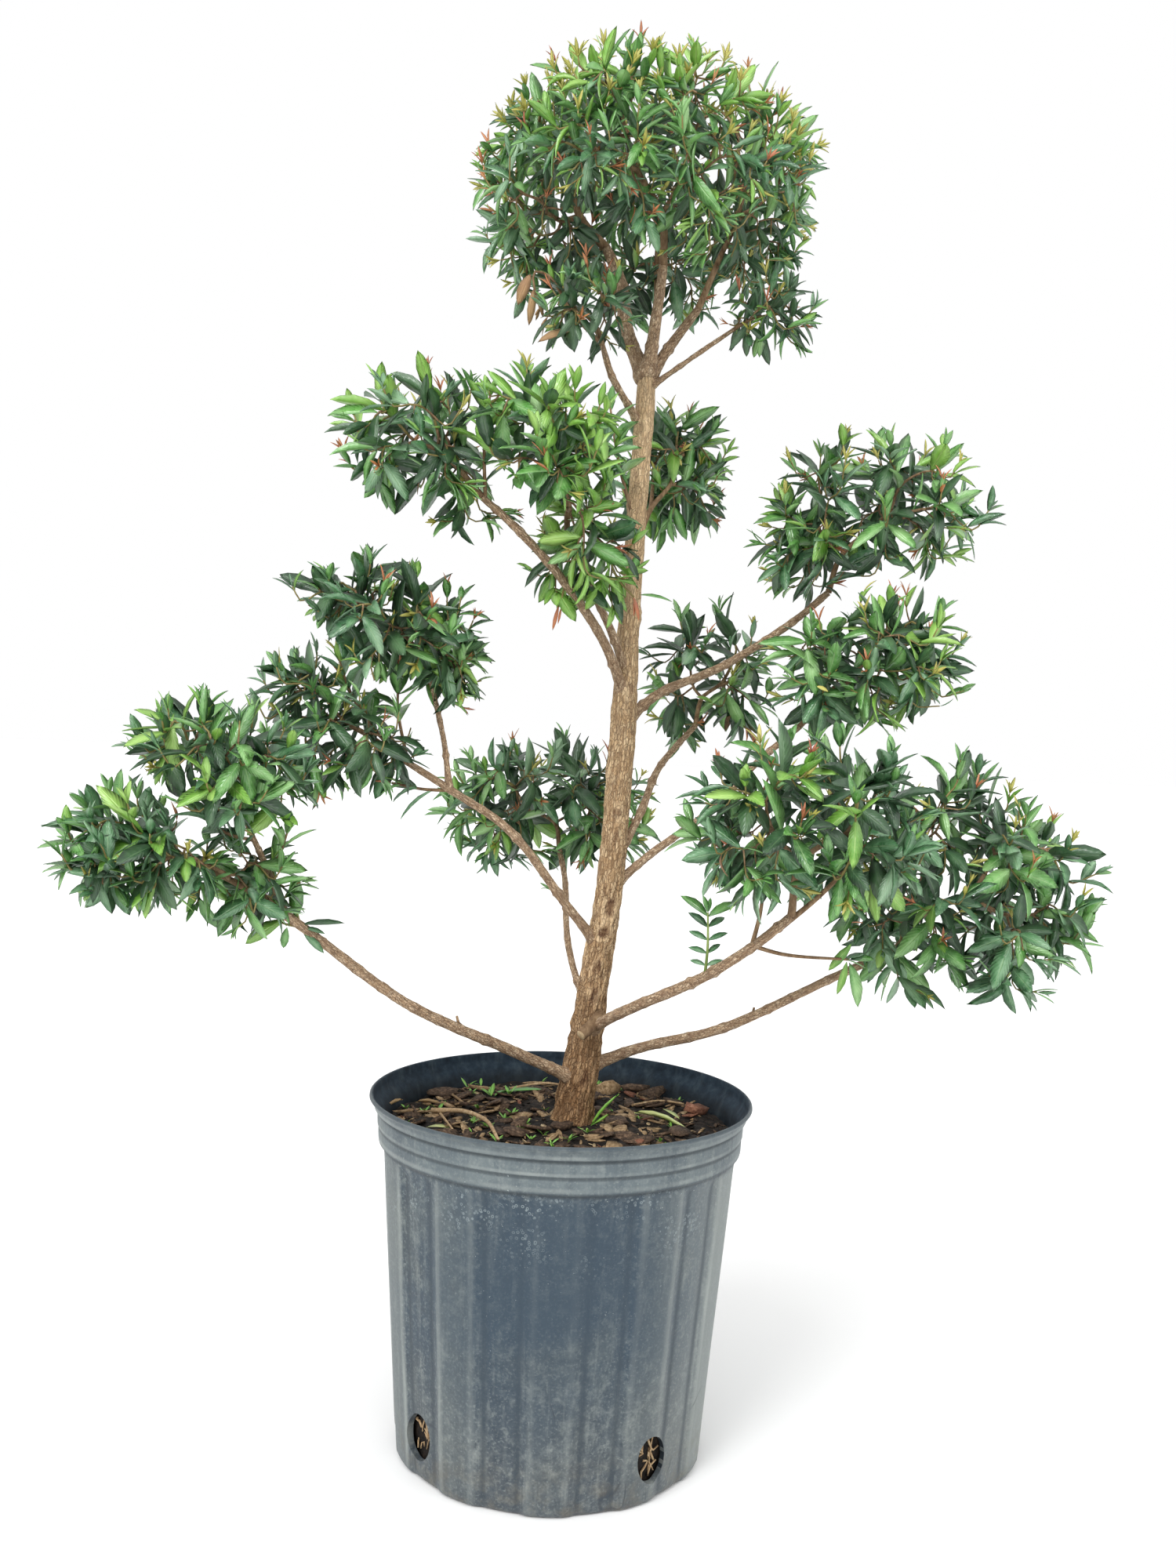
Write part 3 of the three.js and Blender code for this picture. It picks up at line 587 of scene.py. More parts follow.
# thin side twigs on the boughs: points, foot and tip radius, pairs of leaves, their vigour, whether
# the twig is green, tint
spurs = [
    ([(-190, -130, 424), (-192, -132, 431), (-193, -133, 438)], 1.1, 0.8, 0, 1, True, "old"),
    ([(-190, -130, 424), (-197, -132, 425), (-204, -133, 427)], 1.1, 0.8, 0, 1, True, "old"),
    ([(133, -110, 420), (157, -105, 414), (206, -97, 411)], 1.7, 1.0, 1, 1.0, False, "old"),
    ([(150, -117, 434), (176, -120, 458), (200, -122, 484)], 2.3, 1.4, 0, 1, False, "old"),
    ([(132, -110, 420), (137, -110, 444), (139, -108, 464)], 1.8, 1.1, 2, 0.85, False, "old"),
    ([(-95, -40, 521), (-116, -42, 521), (-140, -45, 525)], 1.6, 0.9, 3, 0.85, False, "old"),
    ([(-78, -60, 343), (-81, -64, 347), (-82, -66, 352)], 1.5, 0.9, 0, 1, False, "old"),
    ([(150, 14, 343), (153, 16, 347), (154, 17, 352)], 1.5, 0.9, 0, 1, False, "old"),
    ([(-3, 76, 429), (-10, 74, 432), (-16, 72, 436)], 1.1, 0.7, 1, 0.4, True, "old"),
    ([(-219, -158, 486), (-236, -168, 491), (-257, -174, 508)], 1.4, 0.8, 4, 0.95, False, "old"),
    ([(-212, -148, 462), (-203, -151, 476), (-197, -153, 494)], 1.4, 0.8, 3, 0.85, False, "old"),
    ([(7, -28, 868), (-16, -42, 886), (-36, -52, 911), (-47, -58, 911), (-45, -58, 895)],
     1.6, 0.8, 0, 1, False, "old"),
    ([(-9, -64, 708), (-10, -66, 692), (-14, -66, 680), (-17, -66, 663)], 1.1, 0.7, 0, 1, True, "bright"),
    ([(18, -64, 709), (21, -66, 693), (28, -66, 682), (38, -66, 672)], 1.1, 0.7, 0, 1, True, "bright"),
    # leafy shoots that close up the masses
    ([(-128, -48, 541), (-137, -50, 583), (-136, -52, 611)], 1.5, 0.8, 4, 0.95, False, "old"),
    ([(-128, -48, 541), (-150, -52, 561), (-171, -56, 590), (-183, -60, 622)],
     1.5, 0.8, 6, 1.0, False, "fresh"),
    ([(-106, -48, 578), (-98, -48, 598), (-90, -46, 614)], 1.1, 0.7, 3, 0.75, True, "old"),
    ([(-74, -97, 733), (-76, -102, 775), (-73, -104, 810)], 1.5, 0.8, 6, 1.0, False, "bright"),
    ([(36, -4, 745), (24, -16, 780), (15, -26, 822)], 1.5, 0.8, 6, 0.95, False, "fresh"),
]
# one young upright sprig: its line, and for each pair of leaves its share up the line, its length
# and its spread in degrees
sprig = {
    "line": [(101, -91, 395), (102, -92, 416), (101, -92, 441)],
    "radii": (1.3, 0.7),
    "pairs": [(0.14, 12, 62), (0.34, 15, 58), (0.55, 15, 52), (0.76, 19, 55), (0.93, 27, 48), (1.0, 12, 16)],
    "breadth": 1.1,
}
# single leaves that show their faces to the front: root, tip, breadth, kind
looseLeaves = [
    ((-193, -133, 430), (-194, -134, 459), 1.3, "mid"),
    ((-201, -133, 429), (-232, -134, 413), 1.05, "bright"),
    ((-199, -134, 424), (-202, -134, 408), 1.3, "mid"),
    ((-189, -132, 426), (-160, -130, 431), 0.6, "shaded"),
    ((-188, -132, 424), (-172, -128, 421), 0.8, "dark"),
    ((-188, -130, 419), (-172, -130, 407), 1.0, "dark"),
    ((207, -99, 423), (190, -101, 403), 0.9, "bright"),
    ((204, -98, 410), (199, -100, 384), 0.8, "bright"),
    ((206, -97, 409), (219, -98, 375), 1.0, "mid"),
    ((206, -97, 411), (228, -92, 414), 0.9, "mid"),
    ((184, -82, 607), (176, -84, 612), 1.3, "young"),
    ((-18, -66, 664), (-22, -68, 645), 0.55, "red"),
    ((-16, -66, 663), (-18, -68, 650), 0.5, "red"),
    ((37, -66, 673), (44, -68, 655), 0.6, "red"),
    ((38, -66, 672), (39, -68, 658), 0.5, "red"),
    ((-10, -66, 683), (-6, -68, 659), 0.9, "bright"),
    ((-12, -66, 681), (-20, -68, 661), 0.9, "bright"),
    ((18, -66, 693), (14, -68, 665), 0.7, "bright"),
    ((23, -66, 690), (31, -68, 665), 0.8, "bright"),
    ((42, -66, 674), (67, -68, 674), 0.5, "mid"),
    ((-49, -58, 910), (-59, -60, 888), 1.3, "dry"),
    ((-46, -58, 900), (-49, -58, 873), 0.8, "dry"),
    ((-45, -58, 896), (-37, -56, 880), 0.9, "dry"),
    ((-17, -52, 871), (-42, -58, 865), 0.9, "dry"),
]
# a shoot that was cut off where a low bough leaves the trunk
cutStub = {"line": [(29, -10, 346), (21, -19, 339), (13, -27, 333)], "foot": 5.4, "end": 4.4, "sides": 18}

limbs = {}


def shareAtHeight(at, height):
    return min((i / 400 for i in range(1, 401)), key=lambda share: abs(at(share)[2] - height))


def selectEdges(piece, wanted):
    # in edit mode, selects the edges that a rule wants and nothing else
    bpy.ops.mesh.select_mode(type="EDGE")
    bpy.ops.mesh.select_all(action="DESELECT")
    edit = bmesh.from_edit_mesh(piece.data)
    for edge in edit.edges:
        edge.select_set(wanted(edge))
    bmesh.update_edit_mesh(piece.data)


def edgeSpan(edge, axis):
    first, second = edge.verts
    return abs(first.co[axis] - second.co[axis])


def straightRod(name, sides, rings):
    # a unit cylinder with its length cut into rings, ready to bend
    deselectAll()
    bpy.ops.mesh.primitive_cylinder_add(vertices=sides, radius=1, depth=1, end_fill_type="TRIFAN")
    rod = bpy.context.object
    rod.name = name
    bpy.ops.object.mode_set(mode="EDIT")
    selectEdges(rod, lambda edge: edgeSpan(edge, 2) > 0.5)
    bpy.ops.mesh.subdivide(number_cuts=rings - 1)
    bpy.ops.mesh.select_mode(type="VERT")
    bpy.ops.object.mode_set(mode="OBJECT")
    return rod


def meshPoints(piece):
    flat = np.empty(len(piece.data.vertices) * 3)
    piece.data.vertices.foreach_get("co", flat)
    return flat.reshape(-1, 3)


def setPoints(piece, points):
    piece.data.vertices.foreach_set("co", np.asarray(points, float).ravel())
    piece.data.update()


def addPointAttribute(piece, name, vectors):
    layer = piece.data.attributes.new(name, "FLOAT_VECTOR", "POINT")
    layer.data.foreach_set("vector", np.asarray(vectors, float).ravel())


def selectOnly(*pieces):
    deselectAll()
    for piece in pieces:
        piece.select_set(True)
    bpy.context.view_layer.objects.active = pieces[0]


def smooth(piece, degrees):
    selectOnly(piece)
    bpy.ops.object.shade_smooth_by_angle(angle=math.radians(degrees))


def bendRod(rod, at, radiusAt, spacing, reliefAt):
    # wraps the straight rod round a curve and raises its relief
    shares, centres, lengths = sampled(at, spacing)
    outs, sides = framesAlong(centres)[1:]
    straight = meshPoints(rod)
    rings = len(centres) - 1
    bent = np.empty_like(straight)
    rodPlace = np.empty_like(straight)
    relief = np.zeros_like(straight)
    for i, (x, y, z) in enumerate(straight):
        ring = int(round((z + 0.5) * rings))
        centre = centres[ring]
        length = lengths[ring]
        radius = radiusAt(shares[ring], length)
        flat = outs[ring] * x - sides[ring] * y
        raised = crack = scar = 0.0
        if math.hypot(x, y) > 0.5:
            raised, crack, scar = reliefAt(x * radius, y * radius, length, centre + flat * radius, centre)
        bent[i] = centre + flat * (radius + raised)
        rodPlace[i] = (x * radius * mm, y * radius * mm, length * mm)
        relief[i] = (raised, crack, scar)
    setPoints(rod, bent * mm)
    addPointAttribute(rod, "rodPlace", rodPlace)
    addPointAttribute(rod, "relief", relief)


def flakes(x, y, length, width, tall):
    # plates of bark parted by cracks: 0 in a crack, near 1 on a plate, each plate at its own level
    sway = noise.noise(Vector((x / 5, y / 5, length / 8 + 11)))
    place = Vector((x / width + 0.5 * sway, y / width - 0.4 * sway, length / tall + 0.3 * sway))
    distances, points = noise.voronoi(place)
    crack = min((distances[1] - distances[0]) / 0.34, 1)
    level = noise.noise(points[0] * 3.7)
    return crack * crack * (3 - 2 * crack), level


def trunkRelief(x, y, length, place, centre):
    # coarse plates at the foot give way to fine flakes higher up
    low = min(max(1 - length / 210, 0), 1)
    fine, fineLevel = flakes(x, y, length, 2.6, 5.2)
    height = (0.75 - 0.25 * min(length / 560, 1)) * fine * (1 + 1.2 * fineLevel) - 0.4
    mask = 1 - fine
    if low > 0:
        coarse, coarseLevel = flakes(x + 50, y, length, 4.8, 14)
        height += low * (1.9 * coarse * (1 + 0.9 * coarseLevel) - 1.1)
        mask = max(mask, low * (1 - coarse))
    height += 0.2 * noise.noise(Vector((x / 0.9, y / 0.9, length / 2.4 + 80)))
    height += 0.75 * noise.noise(Vector((x / 20, y / 20, length / 30 + 7)))
    out = place - centre
    bearing = math.atan2(out[1], out[0])
    radius = math.hypot(out[0], out[1])
    scar = 0.0
    highReach, wideReach = trunk["knotReach"]
    for knotHeight, knotBearing, size in trunk["knots"]:
        rise = place[2] - knotHeight
        if abs(rise) > highReach:
            continue
        around = (bearing - math.radians(knotBearing) + math.pi) % fullTurn - math.pi
        wobble = 0.5 * noise.noise(Vector((x / 3, y / 3, length / 3)))
        off = math.hypot(radius * around, rise * 0.85) / size + wobble
        if off < wideReach:
            ring = math.exp(-((off - 0.95) / 0.26) ** 2)
            hollow = -math.exp(-(off / 0.6) ** 2) * 1.3
            swelling = math.exp(-(off / 1.4) ** 2) * 0.9
            keep = min(max(off - 0.5, 0), 1)
            height = height * keep + ring + hollow + swelling
            scar = max(scar, math.exp(-(off / 0.85) ** 4))
            mask *= keep
    return height, mask, scar


def boughRelief(seed, nodes):
    # fine plates, with a swelling at each node that is strongest on the node's own side
    def relief(x, y, length, place, centre):
        plate, level = flakes(x + seed, y, length, 1.9, 6.5)
        fine = noise.noise(Vector((x / 0.8 + seed, y / 0.8, length / 3)))
        bulge = noise.noise(Vector((x / 9, y / 9 + seed, length / 16)))
        height = 0.2 * plate * (1 + level) - 0.1 + 0.06 * fine + 0.3 * bulge
        scar = 0.0
        for node, bearing in nodes:
            off = abs(length - node)
            if off < 7:
                side = math.cos(math.atan2(y, x) - bearing) ** 4
                swelling = math.exp(-(off / 2.1) ** 2)
                height += swelling * (0.3 + 0.85 * side)
                scar = max(scar, 0.7 * swelling * side)
        return height, 1 - plate, scar
    return relief


def buildTrunk():
    at = curveThrough(trunk["path"])
    foot = at(0)[2]
    heights, radii = zip(*trunk["girths"])
    spacing = trunk["ringSpacing"]

    def radiusAt(share, length=0):
        height = at(share)[2]
        flare = trunk["flare"] * math.exp((foot - height) / trunk["flareHeight"])
        return np.interp(height, heights, radii) + flare
    limbs["trunk"] = {"at": at, "radiusAt": radiusAt}
    rod = straightRod("trunkBark", trunk["sides"], len(sampled(at, spacing)[0]) - 1)
    bendRod(rod, at, radiusAt, spacing, trunkRelief)
    points = meshPoints(rod)
    low = points[:, 2] < (foot + trunk["levelFoot"]) * mm
    points[low, 2] = np.maximum(points[low, 2], foot * mm)
    setPoints(rod, points)
    return rod


def drawn(limits, random):
    # a random value between two limits
    least, most = limits
    return least + (most - least) * random.random()


def about(width, random):
    # a random value up to half the width on either side of nothing
    return (random.random() - 0.5) * width


def buildBough(name, parentName, where, footRadius, tipRadius, through, random):
    parent = limbs[parentName]
    share = where if where < 1 else shareAtHeight(parent["at"], where)
    start = parent["at"](share)
    at = curveThrough([tuple(start), *through])
    hidden = parent["radiusAt"](share)
    collarShare, collarLength = boughBuild["collar"]
    spacing = boughBuild["ringSpacing"]

    def radiusAt(along, length=0):
        collar = collarShare * footRadius * math.exp(-max(length - hidden, 0) / collarLength)
        return footRadius + (tipRadius - footRadius) * along + (collar if length else 0)
    limbs[name] = {"at": at, "radiusAt": radiusAt}
    lengths = sampled(at, spacing)[2]
    nodes = []
    node = hidden + drawn(boughBuild["firstNode"], random)
    while node < lengths[-1] - boughBuild["lastNode"]:
        nodes.append((node, fullTurn * random.random()))
        node += drawn(boughBuild["nodeGap"], random)
    rod = straightRod(name + "Bark", boughBuild["sides"], len(lengths) - 1)
    bendRod(rod, at, radiusAt, spacing, boughRelief(random.random() * boughBuild["barkSeeds"], nodes))
    return rod


def joinPieces(name, parts):
    selectOnly(*parts)
    bpy.ops.object.join()
    joined = bpy.context.object
    joined.name = name
    return joined


def finishPiece(piece, name, finishes, nodes):
    piece.name = name
    piece.data.materials.clear()
    for finish in finishes:
        piece.data.materials.append(finish)
    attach(piece, "root")
    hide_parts(*nodes)
    faces = sum(len(p.vertices) - 2 for p in piece.data.polygons)
    print(name, faces, "triangles")


trunkBark = barkFinish("trunkBark", [(88, 64, 46), (188, 154, 114), (236, 208, 168), (84, 56, 40)], 330,
                       (200, 182, 166))
boughBark = barkFinish("boughBark", [(108, 82, 62), (188, 158, 126), (226, 202, 172), (122, 92, 70)], 460)

random = Random(7)
trunkPiece = buildTrunk()
smooth(trunkPiece, 80)
finishPiece(trunkPiece, "trunkBark", [trunkBark], ["trunk"])
boughPiece = joinPieces("boughBark", [buildBough(*bough, random) for bough in boughs])
smooth(boughPiece, 80)
finishPiece(boughPiece, "boughBark", [boughBark], [bough[0] for bough in boughs])
print("trunk and boughs are made")

# Foliage, grown by the same rule as the solids and carried to finer twigs

ball = {"centre": (39, 0, 992), "size": (149, 142, 122), "underside": -0.8, "shoots": 28}


def lobe(centre, size, underside, shoots, home=None):
    # one rounded space for leaves; home is the point that its leaves have to be nearest to
    return {"centre": np.array(centre, float), "size": np.array(size, float), "underside": underside,
            "shoots": shoots, "home": centre if home is None else home, "inBall": home is not None}


def ballLobe(home):
    return lobe(**ball, home=home)


masses = [
    # name, limb it grows from, tint, lobes
    ("ball_left", "leader_left", "ball", [ballLobe((-34, 24, 990))]),
    ("ball_front", "leader_front", "ball", [ballLobe((48, -72, 990))]),
    ("ball_right", "leader_right", "ball", [ballLobe((118, 4, 988))]),
    ("ball_back", "leader_back", "ball", [ballLobe((48, 82, 990))]),
    ("ball_skirt_right", "side_shoot_right", "ball", [lobe((136, -26, 898), (42, 40, 38), -0.8, 3)]),
    ("ball_skirt_left", "side_shoot_left", "ball", [lobe((-8, -40, 890), (48, 44, 48), -0.6, 3)]),
    ("pad_upper_left_outer", "bough_upper_left_outer", "lively",
     [lobe((-121, -92, 779), (68, 62, 58), -0.8, 4.3), lobe((-82, -98, 738), (44, 40, 38), -0.9, 1)]),
    ("pad_upper_left_inner", "bough_upper_left_inner", "bright",
     [lobe((-42, -110, 770), (76, 68, 63), -0.8, 8.6), lobe((0, -64, 702), (50, 44, 56), -0.9, 2.8)]),
    ("pad_upper_back", "trunk", "lively", [lobe((75, 96, 795), (56, 60, 68), -0.85, 5)]),
    ("pad_high_right", "bough_high_right", "fresh",
     [lobe((240, 42, 768), (103, 86, 70), -0.8, 5.3), lobe((184, 42, 722), (50, 46, 42), -0.9, 2)]),
    ("pad_mid_right", "bough_mid_right", "fresh", [lobe((230, 0, 634), (88, 80, 70), -0.85, 8)]),
    ("pad_inner_right", "bough_inner_right", "old", [lobe((114, 102, 621), (66, 60, 76), -0.85, 3.5)]),
    ("pad_mid_left_arch", "bough_mid_left_arch", "fresh",
     [lobe((-155, -60, 641), (85, 68, 59), -0.8, 9), lobe((-96, -46, 614), (30, 34, 42), -0.9, 2)]),
    ("pad_mid_left", "bough_mid_left", "old",
     [lobe((-172, -62, 558), (64, 60, 58), -0.85, 4.4), lobe((-208, -66, 594), (42, 40, 40), -0.9, 2)]),
    ("pad_low_left_top", "bough_low_left_rise", "calm", [lobe((-243, -178, 529), (72, 66, 62), -0.7, 8)]),
    ("pad_low_left", "bough_low_left", "calm",
     [lobe((-284, -186, 483), (64, 62, 50), -0.9, 8), lobe((-224, -156, 456), (46, 42, 41), -0.9, 3)]),
    ("pad_back", "bough_back", "old", [lobe((-20, 149, 503), (110, 82, 72), -0.85, 8)]),
    ("pad_low_right_front", "bough_low_right_front", "old",
     [lobe((166, -132, 511), (98, 86, 76), -0.85, 8)]),
    ("pad_low_right", "bough_low_right_back", "old",
     [lobe((316, -10, 455), (112, 92, 100), -0.85, 10), lobe((300, -6, 534), (66, 50, 44), -0.9, 1)]),
]

foliage = {
    # the random seed of the first mass
    "seed": 301,
    # shells of shoot tips: shoots for each one in the solids, least and most reach
    "shells": [(4.9, 0.86, 1.0), (3.4, 0.45, 0.82)],
    "ballShells": [(9.2, 0.84, 1.0), (5.6, 0.42, 0.8)],
    "tipReach": (7, 7, 7),
    "ballTipReach": (11, 11, 17),
    # where the mass on the trunk leaves it, and how thick its first twig may be
    "leavesTrunkAt": 716,
    "thickestOnTrunk": 4.0,
    # twigs
    "risingLength": 46,
    "tipRadius": 0.72,
    "thicken": 0.42,
    "childShare": 0.62,
    "forkShare": 0.42,
    "lift": 0.12,
    "sides": 5,
    "thickSides": 6,
    "thickFrom": 1.6,
    # a twig is green at its end, for the lesser of a share of it and a length
    "greenEnd": (0.8, 52),
    # room between neighbours, for tips and for leaves, and how far past its space a leaf may go
    "ownMargin": 4,
    "leafMargin": 0.8,
    "overshoot": 1.11,
    "limbClearance": 1.2,
    "beadSpacing": 3.5,
    "beadRoom": 12,
    # pairs of leaves, back from the tip
    "pairs": (5, 8),
    "firstPair": 4.0,
    "tuftRoom": 5,
    "spacing": 11.0,
    "spread": (18, 32, 42, 48, 52, 56, 60, 63),
    "sizes": (0.52, 0.82, 0.98, 1.0, 1.0, 0.95, 0.9, 0.82),
    "length": 38,
    "breadth": 1.06,
    "lean": 0.1,
    "tilt": 0.7,
    "spreadPlay": 18,
    # share of the older leaves that have dropped
    "dropped": 0.14,
    "tuftLength": 12,
    "ballVigour": 0.88,
    "ballBreadth": 0.94,
    # shoots of the ball above this height have the tint of its crown
    "crownHeight": 1022,
    "colouredSize": {"dry": 0.6, "young": 0.6, "red": 0.7},
    # leaves deeper inside a mass than this share of its reach are the shaded ones
    "shadedWithin": 0.66,
    # the share of leaves that have withered, and a place round which all of them have
    "withered": 0.002,
    "witheredPlace": (-46, -40, 890),
    "witheredReach": 20,
}

# share of shoots that are dark, middle and bright, how often a tip is red or yellow, and how
# many of the leaves deep inside are shaded
tintParts = ("dark", "middle", "bright", "red", "yellow", "shaded")
tints = {
    "ball": (0.6, 0.34, 0.06, 0.2, 0.28, 0.74),
    "old": (0.56, 0.37, 0.07, 0.15, 0.26, 0.73),
    "calm": (0.34, 0.56, 0.1, 0.05, 0.1, 0.42),
    "fresh": (0.4, 0.44, 0.16, 0.18, 0.26, 0.64),
    "lively": (0.22, 0.54, 0.24, 0.18, 0.26, 0.45),
    "bright": (0.06, 0.34, 0.6, 0.14, 0.26, 0.2),
    # the top of the ball
    "crown": (0.1, 0.42, 0.48, 0.2, 0.7, 0.74),
}
tints = {name: dict(zip(tintParts, shares)) for name, shares in tints.items()}


def twigRadius(count):
    return foliage["tipRadius"] * count ** foliage["thicken"]


lobeHomes = np.array([part["home"] for mass in masses for part in mass[3]], float)
lobeOwners = np.array([i for i, mass in enumerate(masses) for part in mass[3]])


def ownsPoints(index, points, margin):
    # whether each point is nearer to a home of its own mass than to any other, by a margin
    distances = np.linalg.norm(points[:, None, :] - lobeHomes[None, :, :], axis=2)
    own = distances[:, lobeOwners == index].min(axis=1)
    other = distances[:, lobeOwners != index].min(axis=1)
    return own + margin < other


def levelsIn(parts, points):
    # how far out in its lobe each point is: 0 in the middle, 1 at the edge
    levels = [np.linalg.norm((points - part["centre"]) / part["size"], axis=1) for part in parts]
    return np.min(levels, axis=0)


def limbBeads():
    # beads along every limb, which leaves keep off
    places = []
    radii = []
    for limb in limbs.values():
        shares, centres = sampled(limb["at"], foliage["beadSpacing"])[:2]
        places.extend(centres)
        radii.extend(limb["radiusAt"](share) for share in shares)
    return np.array(places), np.array(radii)


beadPlaces, beadRadii = limbBeads()


def clearOf(places, radii, points):
    return bool((np.linalg.norm(points[:, None] - places[None], axis=2) > radii[None]).all())


def shootTips(index, random):
    tips = []
    for part in masses[index][3]:
        inner = part["size"] - foliage["ballTipReach" if part["inBall"] else "tipReach"]
        shells = foliage["ballShells" if part["inBall"] else "shells"]
        for shell, (perShoot, least, most) in enumerate(shells):
            count = max(round(part["shoots"] * perShoot), 3)
            for i in range(count):
                up = 1 + (part["underside"] - 1) * (i + 0.5) / count
                turn = i * goldenAngle + part["centre"][0] + shell * 2.1 + 0.35 * random.random()
                flat = math.sqrt(1 - up * up)
                way = np.array([math.cos(turn) * flat, math.sin(turn) * flat, up])
                tip = part["centre"] + way * inner * drawn((least, most), random)
                if ownsPoints(index, tip[None, :], foliage["ownMargin"])[0]:
                    tips.append(tip)
    return tips


def unit(vector):
    return vector / max(np.linalg.norm(vector), 1e-9)


def squared(upper, way):
    # an upper direction turned square to the way that a leaf points
    return unit(upper - way * (upper @ way))


splitAxes = [unit(np.array(axis, float)) for axis in
             [(1, 0, 0), (0, 1, 0), (0, 0, 1), (1, 1, 0), (1, -1, 0), (1, 0, 1), (0, 1, 1)]]


def halves(tips, fork, heading):
    # the tips in two halves across their widest spread, the one straighter ahead first
    ways = np.array([unit(tip - fork) for tip in tips])
    around = ways - ways.mean(axis=0)
    axis = max(splitAxes, key=lambda candidate: float(((around @ candidate) ** 2).sum()))
    order = np.argsort(ways @ axis, kind="stable")
    ranked = [tips[i] for i in order]
    half = math.ceil(len(ranked) / 2)
    parts = [ranked[:half], ranked[half:]]
    parts.sort(key=lambda part: -float(unit(np.mean(part, axis=0) - fork) @ heading))
    return parts


def growTwigs(start, heading, tips, thickest, random, twigs):
    # a twig runs towards the middle of its tips and forks until it has one tip left
    points = [start]
    radius = min(twigRadius(len(tips)), thickest)
    twigs.append({"points": points, "radius": radius})
    place = start
    ahead = heading
    left = tips
    while len(left) > 1:
        way = (np.mean(left, axis=0) - place) * foliage["forkShare"] * (0.85 + 0.3 * random.random())
        fork = place + way
        fork[2] += np.linalg.norm(way) * foliage["lift"]
        ahead = unit(fork - place)
        near, far = halves(left, fork, ahead)
        points.append(fork)
        growTwigs(fork, ahead, far, max(radius * foliage["childShare"], foliage["tipRadius"]), random, twigs)
        place = fork
        left = near
    points.append(left[0])


# one leaf, modelled at unit length along +X, in a few shapes; the first is the flattest
leafShapes = [
    # width, fold, arch, how far the tip twists
    {"width": 0.3, "fold": 0.03, "arch": 0.12, "twist": 0.1},
    {"width": 0.27, "fold": 0.06, "arch": 0.27, "twist": -0.2},
    {"width": 0.31, "fold": 0.04, "arch": 0.2, "twist": 0.3},
    {"width": 0.25, "fold": 0.08, "arch": 0.4, "twist": 0.14},
]
leafRows = [0.0, 0.14, 0.36, 0.62, 0.86, 1.0]
leafOutline = [0.0, 0.5, 0.94, 1.0, 0.56, 0.0]
leafRib = 0.014


def modelLeaf(name, shape):
    deselectAll()
    bpy.ops.mesh.primitive_plane_add(size=1)
    sheet = bpy.context.object
    sheet.name = name
    bpy.ops.object.mode_set(mode="EDIT")
    for axis, cuts in ((0, len(leafRows) - 2), (1, 1)):
        selectEdges(sheet, lambda edge: edgeSpan(edge, axis) > 0.1)
        bpy.ops.mesh.subdivide(number_cuts=cuts)
    bpy.ops.mesh.select_mode(type="VERT")
    bpy.ops.mesh.select_all(action="SELECT")
    bpy.ops.mesh.duplicate()
    bpy.ops.mesh.flip_normals()
    edit = bmesh.from_edit_mesh(sheet.data)
    for face in edit.faces:
        face.material_index = int(face.select)
    lower = {vertex.index for vertex in edit.verts if vertex.select}
    for vertex in edit.verts:
        row = round((vertex.co.x + 0.5) * (len(leafRows) - 1))
        side = round(vertex.co.y * 2)
        along = leafRows[row]
        half = leafOutline[row] * shape["width"] / 2
        lift = shape["fold"] * leafOutline[row] * abs(side) - shape["arch"] * along ** 1.7
        lean = shape["twist"] * along
        vertex.co = Vector((
            along * (1 - 0.25 * shape["arch"] * along),
            side * half * math.cos(lean),
            lift + side * half * math.sin(lean),
        ))
        if vertex.index in lower and side == 0:
            vertex.co.z -= leafRib
    bmesh.update_edit_mesh(sheet.data)
    bpy.ops.mesh.select_all(action="SELECT")
    bpy.ops.mesh.remove_doubles(threshold=0.001)
    bpy.ops.mesh.quads_convert_to_tris()
    bpy.ops.object.mode_set(mode="OBJECT")
    return sheet


def templateOf(piece):
    # a piece's mesh as arrays, and the piece itself removed
    mesh = piece.data
    points = meshPoints(piece)
    faces = np.array([list(p.vertices) for p in mesh.polygons])
    kinds = np.array([p.material_index for p in mesh.polygons])
    layer = mesh.uv_layers.active
    places = np.array([layer.data[k].uv[:] for k in range(len(mesh.loops))])
    bpy.data.objects.remove(piece)
    return {"points": points, "faces": faces, "kinds": kinds, "places": places}


def pieceFromArrays(name, points, faces, kinds=None, places=None):
    mesh = bpy.data.meshes.new(name)
    mesh.vertices.add(len(points))
    mesh.vertices.foreach_set("co", np.asarray(points, float).ravel())
    corners = faces.shape[1]
    mesh.loops.add(faces.size)
    mesh.loops.foreach_set("vertex_index", faces.ravel().astype(np.int32))
    mesh.polygons.add(len(faces))
    mesh.polygons.foreach_set("loop_start", np.arange(0, faces.size, corners, dtype=np.int32))
    if kinds is not None:
        mesh.polygons.foreach_set("material_index", kinds.astype(np.int32))
    mesh.update(calc_edges=True)
    mesh.validate()
    if places is not None:
        layer = mesh.uv_layers.new(name="leafPlace")
        layer.data.foreach_set("uv", np.asarray(places, float).ravel())
    piece = bpy.data.objects.new(name, mesh)
    bpy.context.collection.objects.link(piece)
    return piece


